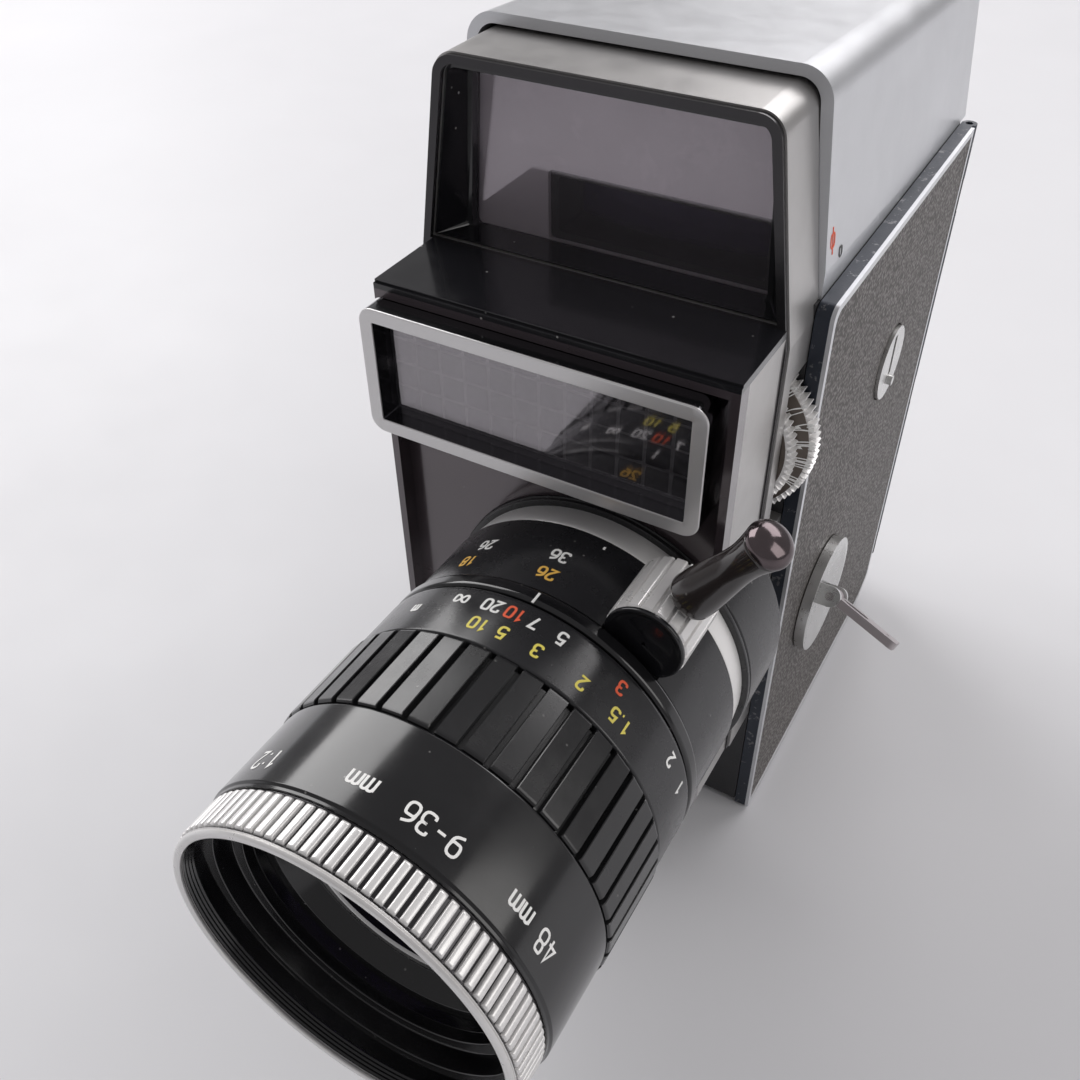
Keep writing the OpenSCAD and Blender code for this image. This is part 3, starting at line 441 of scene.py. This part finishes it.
def bevelled(node, width=0.25, segments=2, look=None, angle=35.0):
    """Breaks the sharp edges of a CAD node, as a modifier. look gives the bevel faces their own material, a
    painted highlight along the edges.
    """
    piece = nodes[node]
    bevel = piece.modifiers.new("edges", "BEVEL")
    bevel.width = width * MM
    bevel.segments = segments
    bevel.limit_method = "ANGLE"
    bevel.angle_limit = math.radians(angle)
    bevel.harden_normals = False
    if look:
        piece.data.materials.append(MATERIALS[look])
        bevel.material = len(piece.data.materials) - 1
    return piece


# ---------- lens ----------

def station(node):
    return low(node, "y"), high(node, "y")


# boss: satin black drum from the body seam to the plate
y0, y1 = station("lens_boss")
boss = turned("boss_drum", [(y1, 16, 0), (y1, 25.5, 0.3), (y0 + 1.1, 25.5, 0.15), (y0 + 0.9, 25.2, 0.1),
                            (y0 + 0.7, 25.5, 0.15), (y0, 25.5, 0.3), (y0, 16, 0)], ["lens_black"], "body")
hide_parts("lens_boss")

y0, y1 = station("lens_flange")
flange = turned("flange_band",
                [(y1, 16, 0), (y1, 24.4, 0.2), (y0 + 0.3, 24.95, 0.3), (y0, 24.6, 0.2), (y0, 16, 0)],
                ["flange_silver"], "body")
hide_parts("lens_flange")

y0, y1 = station("index_ring")
index = turned("index_band", [(y1, 21, 0), (y1, 25.3, 0.2), (y1 - 0.5, 25.8, 0.3), (y0 + 0.4, 25.8, 0.3),
                              (y0, 25.4, 0.2), (y0, 21, 0)], ["lens_gloss"], "body")
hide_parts("index_ring")

y0, y1 = station("focus_ring")
focus = turned("focus_band", [(y1, TUBE_R, 0), (y1, 25.4, 0.2), (y1 - 0.5, 25.8, 0.4), (y0 + 0.25, 25.8, 0.2),
                              (y0, 25.5, 0.1), (y0, TUBE_R, 0)], ["lens_black"], "focus_group")
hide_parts("focus_ring")

y0, y1 = station("focus_grip")
land, floor = LENS_R + 0.35, LENS_R - 0.75
grip = toothed("focus_ribs",
               [(0.0, floor), (0.09, floor), (0.10, floor + 0.1), (0.115, land - 0.1), (0.14, land),
                              (0.86, land), (0.885, land - 0.1), (0.90, floor + 0.1), (0.91, floor)], 42,
               [(y1, 0.5), (y1 - 0.35, 0.12), (y1 - 0.7, 0.0), (y0 + 0.5, 0.0), (y0 + 0.2, 0.12),
                (y0 + 0.02, 0.35)],
               23.0, ["rib_black"], "focus_group")
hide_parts("focus_grip")

y0, y1 = station("front_barrel")
y_grip = low("focus_grip", "y")
barrel = turned("smooth_barrel", [(y1, TUBE_R, 0), (y1, 23, 0.2), (y_grip, 23, 0), (y_grip, 25.6, 0.2),
                                  (y_grip - 0.35, 25.8, 0.15), (y0 + 0.7, 25.8, 0.1), (y0 + 0.45, 25.5, 0.1),
                                  (y0, 25.45, 0.1), (y0, 24.6, 0), (y_grip - 1.6, 24.6, 0),
                                  (y_grip - 1.6, TUBE_R, 0)],
                ["lens_gloss"], "focus_group", segments=240)
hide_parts("front_barrel")

# knurled front ring: chrome bars standing on a black ring
y0, y1 = station("filter_ring")
ring = turned("knurl_base", [(y1, 24.6, 0), (y1, 25.15, 0.1), (y1 - 0.5, 24.9, 0.1), (y0 + 0.5, 24.9, 0.1),
                             (y0, 25.15, 0.1), (y0, 24.6, 0)], ["black_chrome"], "focus_group")
bars = 96
bar_verts, bar_faces = [], []
section = [(-0.34, -0.35), (-0.34, 0.30), (-0.27, 0.44), (-0.12, 0.5), (0.12, 0.5), (0.27, 0.44),
           (0.34, 0.30), (0.34, -0.35)]
bar_ends = ((y1 - 0.28, 0.45), (y1 - 0.42, 0.9), (y1 - 0.7, 1.0), (y0 + 0.7, 1.0), (y0 + 0.42, 0.9),
            (y0 + 0.28, 0.45))
bar_r = 25.0
pitch = 2 * math.pi * bar_r / bars
for i in range(bars):
    t = 2 * math.pi * (i + 0.5) / bars
    out, along = Vector((math.cos(t), 0, math.sin(t))), Vector((-math.sin(t), 0, math.cos(t)))
    base = len(bar_verts)
    for y, shrink in bar_ends:
        for a, h in section:
            p = out * (bar_r + (h if h < 0 else h * shrink)) + along * a * pitch
            bar_verts.append((LENS_X + p.x, y, LENS_Z + p.z))
    n = len(section)
    last = len(bar_ends) - 1
    for s in range(last):
        for k in range(n):
            m = (k + 1) % n
            this_end, next_end = base + s * n, base + (s + 1) * n
            bar_faces.append((this_end + k, this_end + m, next_end + m, next_end + k))
    bar_faces.append(tuple(base + k for k in range(n)))
    bar_faces.append(tuple(base + last * n + k for k in range(n)))
knurl = finish_mesh("knurl_bars", bar_verts, bar_faces, ["pale_chrome"], "focus_group", sharp=50.0)
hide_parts("filter_ring")

# light lip, with a dark line behind it and the filter thread inside
y0 = low("front_bezel", "y")
y_f = low("filter_ring", "y")
turns, thread_pitch = 5, 0.5
thread = []
for k in range(turns):
    at = y0 + 0.7 + thread_pitch * k
    thread += [(at, 24.0, 0), (at + thread_pitch / 2, 24.12, 0)]
lip = turned("front_lip",
             [(y_f, 24.0, 0), (y_f, 25.3, 0.15), (y_f - 0.22, 24.9, 0.05), (y_f - 0.3, 25.25, 0.12),
              (y0 + 0.08, 24.95, 0.3), (y0, 24.4, 0.25), (y0 + 0.25, 24.0, 0.1), (y0 + 0.5, 24.0, 0)],
             ["pale_chrome"], "focus_group", segments=240)
screw = turned("filter_screw_thread", [(y0 + 0.55, 24.55, 0), (y0 + 0.55, 24.0, 0)] + thread +
               [(y0 + 5.2, 24.0, 0), (y0 + 5.2, 24.55, 0)], ["lens_gloss"], "focus_group", segments=240)
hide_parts("front_bezel")

# black stepped mount of the front element
y_b = low("front_cell", "y")
y_e = high("front_cell", "y")
steps = [(y_b + 0.05, 24.5, 0), (y_b + 0.05, 23.0, 0.2), (y_b + 2.9, 22.5, 0.2), (y_b + 2.9, 20.7, 0.2),
         (y_b + 4.4, 20.5, 0), (y_b + 4.4, 20.3, 0),
         (y_b + 6.4, 20.4, 0), (y_b + 6.4, 19.5, 0.15), (y_b + 9.3, 17.9, 0.1), (y_b + 9.3, 17.05, 0.1),
          (y_e, 17.05, 0), (y_e, 24.5, 0)]
cell = turned("stepped_cell", steps, ["lens_gloss"], "focus_group", segments=240)
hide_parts("front_cell")
retainer = turned("glass_retainer",
                  [(y_b + 9.05, 17.0, 0.1), (y_b + 9.05, 15.9, 0.15), (y_b + 9.5, 15.6, 0.1),
                   (y_b + 9.5, 17.0, 0)],
                  ["satin_chrome"], "focus_group")

# ---------- marks ----------

# Each character's strokes, on a box 0.6 wide and 1 high. A point is (across, up, corner radius).
GLYPHS = {
    "0": [[(0.3, 0.97, 0), (0.57, 0.97, 0.3), (0.57, 0.03, 0.3), (0.03, 0.03, 0.3), (0.03, 0.97, 0.3),
           (0.3, 0.97, 0)]],
    "1": [[(0.14, 0.76, 0), (0.34, 0.97, 0), (0.34, 0.03, 0)]],
    "2": [[(0.04, 0.72, 0), (0.04, 0.97, 0.26), (0.56, 0.97, 0.26), (0.56, 0.56, 0.2), (0.04, 0.03, 0),
           (0.58, 0.03, 0)]],
    "3": [[(0.05, 0.8, 0), (0.05, 0.97, 0.2), (0.54, 0.97, 0.24), (0.54, 0.53, 0.2), (0.24, 0.53, 0)],
          [(0.24, 0.53, 0), (0.57, 0.53, 0.24), (0.57, 0.03, 0.26), (0.03, 0.03, 0.26), (0.03, 0.22, 0)]],
    "4": [[(0.42, 0.03, 0), (0.42, 0.97, 0), (0.03, 0.28, 0), (0.58, 0.28, 0)]],
    "5": [[(0.52, 0.97, 0), (0.13, 0.97, 0), (0.07, 0.56, 0), (0.57, 0.66, 0.26), (0.57, 0.03, 0.28),
           (0.03, 0.03, 0.26),
           (0.03, 0.2, 0)]],
    "6": [[(0.5, 0.95, 0), (0.06, 0.8, 0.2), (0.03, 0.3, 0)],
          [(0.3, 0.6, 0), (0.57, 0.6, 0.28), (0.57, 0.03, 0.28), (0.03, 0.03, 0.28), (0.03, 0.6, 0.28),
           (0.3, 0.6, 0)]],
    "7": [[(0.03, 0.97, 0), (0.57, 0.97, 0), (0.22, 0.03, 0)]],
    "8": [[(0.3, 0.97, 0), (0.52, 0.97, 0.22), (0.52, 0.54, 0.22), (0.08, 0.54, 0.22), (0.08, 0.97, 0.22),
           (0.3, 0.97, 0)],
          [(0.3, 0.54, 0), (0.57, 0.54, 0.25), (0.57, 0.03, 0.27), (0.03, 0.03, 0.27), (0.03, 0.54, 0.25),
           (0.3, 0.54, 0)]],
    "9": [[(0.1, 0.05, 0), (0.54, 0.2, 0.2), (0.57, 0.7, 0)],
          [(0.3, 0.4, 0), (0.03, 0.4, 0.28), (0.03, 0.97, 0.28), (0.57, 0.97, 0.28), (0.57, 0.4, 0.28),
           (0.3, 0.4, 0)]],
    "m": [[(0.0, 0.03, 0), (0.0, 0.62, 0)],
          [(0.0, 0.4, 0), (0.04, 0.64, 0.15), (0.3, 0.64, 0.15), (0.3, 0.03, 0)],
          [(0.3, 0.4, 0), (0.34, 0.64, 0.15), (0.6, 0.64, 0.15), (0.6, 0.03, 0)]],
    "-": [[(0.1, 0.46, 0), (0.5, 0.46, 0)]],
    ".": [[(0.24, 0.06, 0), (0.36, 0.06, 0)]],
    ":": [[(0.24, 0.2, 0), (0.36, 0.2, 0)], [(0.24, 0.75, 0), (0.36, 0.75, 0)]],
    "i": [[(0.3, 0.0, 0), (0.3, 1.0, 0)]],
    "o": [[(0.3, 0.85, 0), (0.6, 0.85, 0.33), (0.6, 0.15, 0.33), (0.0, 0.15, 0.33), (0.0, 0.85, 0.33),
           (0.3, 0.85, 0)]],
    "8side": [[(0.3, 0.5, 0), (0.52, 0.82, 0.2), (0.84, 0.82, 0.28), (0.84, 0.18, 0.28), (0.52, 0.18, 0.2),
               (0.3, 0.5, 0),
               (0.08, 0.82, 0.2), (-0.24, 0.82, 0.28), (-0.24, 0.18, 0.28), (0.08, 0.18, 0.2),
               (0.3, 0.5, 0)]],
}


def stroke(path, width):
    """The two sides of a stroke along a path."""
    sides = []
    for i, p in enumerate(path):
        here = Vector(p)
        before = (here - Vector(path[i - 1])).normalized() if i else None
        after = (Vector(path[i + 1]) - here).normalized() if i + 1 < len(path) else None
        along = ((before or after) + (after or before)).normalized()
        side = Vector((-along.y, along.x))
        reach = width / 2 / max(0.5, side.dot(Vector((-(after or before).y, (after or before).x))))
        sides.append((here + side * reach, here - side * reach))
    return sides


def marks(name, items, place, look, body, weight=0.17, thick=0.05):
    """Thin raised characters.

    items lists (text, along, up, height), and place maps (along, up, out) to a point."""
    verts, faces = [], []
    for text, along, up, height in items:
        keys = [text] if text in GLYPHS else list(text)
        steps = [0.4 if key in ".:" else 0.7 for key in keys]
        start = along - height * sum(steps) / 2
        for i, key in enumerate(keys):
            shift = start + height * (sum(steps[:i]) + steps[i] / 2 - 0.27)
            for path in GLYPHS[key]:
                scaled_path = [(a * height * 0.9, b * height, r * height) for a, b, r in path]
                sides = stroke(soften(scaled_path, 4, False), weight * height)
                base = len(verts)
                for pair in sides:
                    for point in pair:
                        for out in (-0.05, thick):
                            verts.append(place(point.x + shift, point.y + up - height / 2, out))
                for k in range(len(sides) - 1):
                    a, b = base + 4 * k, base + 4 * (k + 1)
                    faces += [(a + 1, b + 1, b + 3, a + 3), (a, a + 2, b + 2, b), (a, b, b + 1, a + 1),
                              (a + 2, a + 3, b + 3, b + 2)]
                last = base + 4 * (len(sides) - 1)
                faces += [(base, base + 1, base + 3, base + 2), (last, last + 2, last + 3, last + 1)]
    mesh = bpy.data.meshes.new(name)
    mesh.from_pydata([Vector(v) * MM for v in verts], [], faces)
    mesh.materials.append(MATERIALS[look])
    piece = finish_object(name, mesh, body, 40.0)
    return piece


def on_ring(radius, centre=(LENS_X, LENS_Z), slope=0.0, zero=0.0):
    """Maps (length round from +X towards +Z, distance forward, height) onto a ring or cone."""
    def place(along, up, out):
        angle, y = along / radius, -up
        r = radius + slope * (y - zero) + out
        return (centre[0] + r * math.cos(angle), y, centre[1] + r * math.sin(angle))
    return place


def ring_marks(name, items, radius, look, body, height=2.1, slot="lens_black", weight=0.17, **extra):
    """items lists (text, station, degrees)."""
    listed = [(text, math.radians(angle) * radius, -y, height) for text, y, angle in items]
    return marks(name, listed, on_ring(radius, **extra), look, body, weight)


# where the rows of figures stand along Y, and how deep the zoom ring lies under the others
METRES_Y, FEET_Y, BARREL_Y = -79.8, -83.5, -111.1
ZOOM_R = LENS_R - 0.6

ring_marks("zoom_figures_white", [("26", -66.7, 118.9), ("36", -66.7, 90.6)], ZOOM_R, "paint_white",
           "zoom_group")
ring_marks("zoom_figures_yellow", [("18", -70.4, 121.0), ("26", -70.6, 90.3)], ZOOM_R, "paint_amber",
           "zoom_group")
ring_marks("zoom_dot", [(".", -63.4, 80.6)], ZOOM_R, "paint_white", "zoom_group", height=3.2)
ring_marks("index_line", [("i", -75.9, 87.0)], LENS_R, "paint_white", "body", height=2.0)
ring_marks("distance_white",
           [("8side", METRES_Y, 107.5), ("20", METRES_Y, 96.6), ("7", METRES_Y, 82.2), ("5", METRES_Y, 73.3),
            ("2", METRES_Y, 23.9), ("1", METRES_Y, 12.6), ("m", -82.2, 122.7)],
           LENS_R, "paint_white", "focus_group")
ring_marks("distance_red", [("10", METRES_Y, 88.8), ("3", METRES_Y, 51.5)], LENS_R, "paint_red",
           "focus_group")
ring_marks("distance_yellow",
           [("10", FEET_Y, 96.0), ("5", FEET_Y, 88.2), ("3", FEET_Y, 76.8), ("2", FEET_Y, 61.4),
            ("1.5", FEET_Y, 46.2)], LENS_R, "paint_yellow", "focus_group")
ring_marks("barrel_figures",
           [("1:2", BARREL_Y, 126.0), ("mm", BARREL_Y, 91.5), ("9-36", BARREL_Y, 69.5),
            ("mm", BARREL_Y, 40.0), ("48", BARREL_Y, 27.0)],
           LENS_R, "paint_white", "focus_group", height=2.9, weight=0.12)


def side_at(z):
    """Half width of the housing at a height, on its leaning side."""
    knee, top_half = BODY_TOP + 4, 25.9
    return SIDE - max(0.0, z - knee) / (HOUSING_TOP - knee) * (SIDE - top_half)


def on_side(y_middle, z_middle):
    """Maps onto the door side of the housing, seen from +X."""
    def place(along, up, out):
        z = z_middle + up
        return (side_at(z) + out, y_middle + along, z)
    return place


FILM_PLANE = on_side(HOUSING_FRONT + 2.4, 117.4)
marks("film_plane_line", [("i", 0.0, 0.0, 3.8)], FILM_PLANE, "paint_red", "body",
      weight=0.07)
marks("film_plane_ring", [("o", 0.0, 0.0, 2.8)], FILM_PLANE, "paint_red", "body",
      weight=0.09)
marks("tape_ring", [("o", 0.0, 0.0, 2.0)], on_side(HOUSING_FRONT + 6.0, 114.4), "engraved", "body",
      weight=0.12)

# ---------- exposure cell ----------

cell_x = (low("cell_frame", "x"), high("cell_frame", "x"))
cell_z = (low("cell_frame", "z"), high("cell_frame", "z"))
cell_corner = 2.4
CELL = [(cell_x[0], cell_z[0], cell_corner), (cell_x[1], cell_z[0], cell_corner),
        (cell_x[1], cell_z[1], cell_corner), (cell_x[0], cell_z[1], cell_corner)]
y0, y1 = station("cell_frame")
section = soften([(0, y0, 0.28), (0, y1, 0), (2.2, y1, 0), (2.2, y0 + 0.05, 0.16)], 3)
near = [y < y0 + 0.4 for inset, y in section]
kinds = [0 if near[i] and near[(i + 1) % len(near)] else 1 for i in range(len(near))]
# the frame's side faces take the darker copy of its chrome as painted shade; the front faces keep
# frame_chrome
frame_piece = swept("cell_surround", CELL, section, ["frame_chrome", "frame_side_shade"], "body", face_looks=kinds)
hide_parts("cell_frame")

# lens-grid window: pillowed squares with a lighter line between them, behind a flat pane
y_pane = low("cell_window", "y")
x0, x1 = low("cell_window", "x"), high("cell_window", "x")
z0, z1 = low("cell_window", "z"), high("cell_window", "z")
columns, rows, fine = 12, 4, 6
verts, faces, kinds = [], [], []
for i in range(columns * fine + 1):
    for k in range(rows * fine + 1):
        u, v = (i % fine) / fine * 2 - 1, (k % fine) / fine * 2 - 1
        rise = (1 - u ** 4) * (1 - v ** 4) * 0.45
        verts.append((x0 + (x1 - x0) * i / (columns * fine), y_pane + 1.5 - rise,
                      z0 + (z1 - z0) * k / (rows * fine)))
for i in range(columns * fine):
    for k in range(rows * fine):
        a = i * (rows * fine + 1) + k
        faces.append((a, a + rows * fine + 1, a + rows * fine + 2, a + 1))
        kinds.append(1 if k % fine == 0 or i % fine == 0 else 0)
grid = finish_mesh("cell_lenses", verts, faces, ["cell_glass", "cell_line"], "body", kinds, 60.0)
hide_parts("cell_window")
pane = swept("cell_pane", CELL, [(2.25, y_pane), (2.25, y_pane + 0.4)], ["cell_pane"], "body", closed=False)

# ---------- finder window ----------

y0, y1 = station("finder_window")
WINDOW = [(-23.2, SHELF + 0.1, 1), (23.2, SHELF + 0.1, 1), (21.7, 134.4, 1.2), (-21.7, 134.4, 1.2)]
mouth_x0, mouth_x1 = low("finder_tunnel", "x"), high("finder_tunnel", "x")
MOUTH = [(mouth_x0, SHELF + 0.2, 0.4), (mouth_x1, SHELF + 0.2, 0.4), (mouth_x1, SHELF + 10.6, 0.8),
         (mouth_x0, SHELF + 10.6, 0.8)]
# pale lilac board behind the clear pane, round the dark finder mouth; its colour is a painted reflection of
# the room in the pane
wide, narrow = outline(WINDOW, 0.0), outline(MOUTH, 0.0)
loops = [[(a, y0 + 0.5, b) for a, b in wide], [(a, y1, b) for a, b in wide],
         [(a, y1, b) for a, b in narrow], [(a, y0 + 0.5, b) for a, b in narrow]]
reflection_board = loft("window_reflection_board", loops, ["finder_painted_reflection"], "body", True)
clear = swept("window_pane", WINDOW, [(0.0, y0), (0.0, y0 + 0.3)], ["finder_glass"], "body", closed=False)
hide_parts("finder_window")

# black baffle: walls that narrow towards the window
HOOD = [(-28.34, SHELF, 0.2), (28.34, SHELF, 0.2), (24.2, HOOD_TOP, 3.5), (-24.2, HOOD_TOP, 3.5)]
y_front = low("hood_lining", "y")
y_back = high("hood_lining", "y")
rounded_hood = [(a, b, max(r, 1.0)) for a, b, r in HOOD]
mouth = outline(rounded_hood, [0.25, 2.0, 2.2, 2.0])
seat = outline(rounded_hood, [0.25, 1.5, 1.5, 1.5])
inner = outline(WINDOW, 0.0)
loops = [[(a, y_front, b) for a, b in mouth], [(a, y_back - 1.5, b) for a, b in outline(WINDOW, -0.7)],
         [(a, y_back - 1.4, b) for a, b in inner], [(a, y_back, b) for a, b in inner],
         [(a, y_back, b) for a, b in seat], [(a, y_front, b) for a, b in seat]]
baffle = loft("hood_baffle", loops, ["black_gloss"], "body", True)
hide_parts("hood_lining")

# ---------- zoom knob and lever ----------

KNOB = (middle("zoom_knob", "x"), middle("zoom_knob", "z"))
y0, y1 = station("zoom_knob")
knob = toothed("knob_ribs",
               [(0.0, 5.45), (0.1, 5.45), (0.14, 5.82), (0.19, 5.9), (0.81, 5.9), (0.86, 5.82),
                (0.9, 5.45)], 18,
               [(y1, 0.3), (y1 - 0.3, 0.0), (y0 + 0.95, 0.0), (y0 + 0.7, 0.3)], 4.95, ["pale_chrome"],
               "zoom_group", KNOB)
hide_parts("zoom_knob")
dish = turned("knob_face",
              [(y0 + 0.2, 0.3, 0), (y0 + 0.45, 4.4, 0.6), (y0 + 0.02, 5.3, 0.15), (y0 + 0.15, 5.75, 0.15),
               (y0 + 0.68, 5.75, 0.1), (y0 + 0.7, 5.0, 0), (y1 - 0.1, 5.0, 0.1), (y1 - 0.1, 0.3, 0)],
              ["black_gloss"], "zoom_group", KNOB, segments=72)
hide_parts("knob_cap")


def spun(name, start, direction, profile, looks, body, segments=48, face_looks=None):
    """A turned part about any line. The profile's points are (distance, radius, corner radius)."""
    ahead = Vector(direction).normalized()
    side = ahead.orthogonal().normalized()
    other = ahead.cross(side)
    loops = []
    for d, r in soften(profile, 4, False):
        loops.append([tuple(Vector(start) + ahead * d + (side * math.cos(t) + other * math.sin(t)) * r)
                      for t in (2 * math.pi * k / segments for k in range(segments))])
    return loft(name, loops, looks, body, False, face_looks)


lever_at = (KNOB[0], middle("zoom_lever", "y"), KNOB[1])
lever_angle = math.radians(54.8)
lever_way = (math.cos(lever_angle), 0, math.sin(lever_angle))
arm = spun("lever_arm", lever_at, lever_way,
           [(3.0, 1.4, 0), (5.95, 1.5, 0), (6.0, 2.8, 0.2), (6.6, 3.4, 0.5), (9.0, 3.3, 1.5),
            (17.2, 2.3, 2.5),
            (21.5, 3.15, 0.6), (21.8, 2.0, 0)], ["lever_gloss"], "zoom_group")
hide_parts("zoom_lever")
cap = spun("lever_dome", lever_at, lever_way,
           [(21.4, 2.0, 0), (21.45, 3.2, 0.2), (22.3, 3.3, 0.5), (23.4, 2.75, 0.9), (24.0, 1.5, 0.8),
            (24.15, 0.1, 0)],
           ["dark_chrome"], "zoom_group")
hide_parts("lever_cap")

# ---------- dials ----------

DIAL = (middle("speed_dial", "x"), middle("speed_dial", "z"))
y0, y1 = station("speed_dial")
rear = toothed("exposure_teeth", [(0.0, 14.1), (0.22, 14.15), (0.46, 15.0), (0.6, 15.0), (0.84, 14.15)], 88,
               [(y1, 0.4), (y1 - 0.2, 0.0), (y0 + 1.2, 0.0), (y0 + 0.95, 0.45)], 13.4, ["pale_chrome"],
               "exposure_dial", DIAL)
cone = turned("exposure_cone",
              [(y1 - 0.2, 1.6, 0), (y1 - 0.2, 13.5, 0), (y0 + 0.85, 14.0, 0.1), (y0 + 0.1, 11.2, 0.2),
                                (y0, 10.6, 0.1), (y0, 1.6, 0)], ["dial_brown"], "exposure_dial", DIAL)
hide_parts("speed_dial")
y0, y1 = station("film_dial")
front = toothed("film_teeth", [(0.0, 12.2), (0.22, 12.25), (0.46, 12.9), (0.6, 12.9), (0.84, 12.25)], 76,
                [(y1, 0.35), (y1 - 0.2, 0.0), (y0 + 0.2, 0.0), (y0, 0.35)], 11.6, ["pale_chrome"],
                "film_speed_dial", DIAL)
face = turned("film_dial_face",
              [(y1, 1.6, 0), (y1, 11.2, 0), (y1 - 0.2, 11.7, 0), (y0 + 0.15, 11.7, 0.1),
               (y0 + 0.05, 10.9, 0.1), (y0 + 0.3, 10.3, 0), (y0 + 0.3, 1.6, 0)],
              ["dial_brown"], "film_speed_dial", DIAL)
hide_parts("film_dial")
figures_y = low("speed_dial", "y") + 0.55
ring_marks("film_speed_figures", [(text, figures_y, angle) for text, angle in
                                  (("10", 42), ("12", 30), ("25", 18), ("50", 6), ("100", -8), ("200", -24))],
           13.0, "paint_white", "exposure_dial", height=0.95, slot="satin_chrome", centre=DIAL, slope=3.4,
           zero=figures_y)

# ---------- broken edges ----------

for node in ("front_block", "front_cover", "left_cover", "base_plate", "side_door", "door_trim", "chassis"):
    bevelled(node, 0.25)
for node in ("lock_disc", "winding_disc", "winding_key", "release_button", "eyepiece", "eyecup",
             "tripod_bush", "hood_rim"):
    bevelled(node, 0.18, 3)
# the top housing's bevels take the brighter pale_chrome, a painted highlight along its edges
bevelled("top_housing", 0.35, 3, "pale_chrome", 50.0)
# the plates' bevels take black_edge, whose light chips are wear and painted edge highlight
for node in ("shelf_plate", "front_plate"):
    bevelled(node, 0.2, look="black_edge")

# ---------- camera, floor and light ----------

scene = bpy.context.scene
lens_camera = bpy.data.cameras.new("view")
lens_camera.lens = 37.7
lens_camera.sensor_width = 36.0
lens_camera.clip_start = 0.01
eye = bpy.data.objects.new("view", lens_camera)
right = Vector((0.8640, 0.5034, -0.0129))
up = Vector((-0.3225, 0.5729, 0.7535))
back = Vector((0.3867, -0.6469, 0.6573))
facing = Matrix((right, up, back)).transposed().to_4x4()
eye.matrix_world = Matrix.Translation((0.0653, -0.1669, 0.1861)) @ facing
scene.collection.objects.link(eye)
scene.camera = eye

floor_mesh = bpy.data.meshes.new("table_top")
reach = 4
floor_mesh.from_pydata([(-reach, -reach, 0), (reach, -reach, 0), (reach, reach, 0), (-reach, reach, 0)], [],
                       [(0, 1, 2, 3)])
material("table_white", (0.70, 0.70, 0.72), 0.45, 0.0, tint=0.015, patch=9.0, smear=0.05, grain=0.15,
         grain_scale=300.0)
floor_mesh.materials.append(MATERIALS["table_white"])
table = bpy.data.objects.new("table_top", floor_mesh)
scene.collection.objects.link(table)


def area_light(name, place, target, size, power, colour=(1, 1, 1)):
    lamp = bpy.data.lights.new(name, "AREA")
    lamp.shape = "RECTANGLE"
    lamp.size, lamp.size_y = size
    lamp.energy = power
    lamp.color = colour
    piece = bpy.data.objects.new(name, lamp)
    piece.location = place
    piece.rotation_euler = (Vector(target) - Vector(place)).to_track_quat("-Z", "Y").to_euler()
    scene.collection.objects.link(piece)
    return piece


area_light("window_left", (-1.1, 0.3, 0.9), (0, 0, 0.07), (1.2, 1.0), 15.5, (1.0, 0.99, 0.99))
area_light("sky_back", (0.2, 1.3, 1.1), (0, 0, 0.07), (1.6, 0.8), 13, (1.0, 0.98, 0.99))
area_light("wall_right", (1.2, 0.1, 0.7), (0, 0, 0.06), (0.9, 0.9), 5, (1.0, 0.98, 0.96))

world = bpy.data.worlds.new("room")
scene.world = world
world.use_nodes = True
world.node_tree.nodes["Background"].inputs["Color"].default_value = (0.90, 0.88, 0.90, 1)
world.node_tree.nodes["Background"].inputs["Strength"].default_value = 0.32
scene.view_settings.view_transform = "Standard"
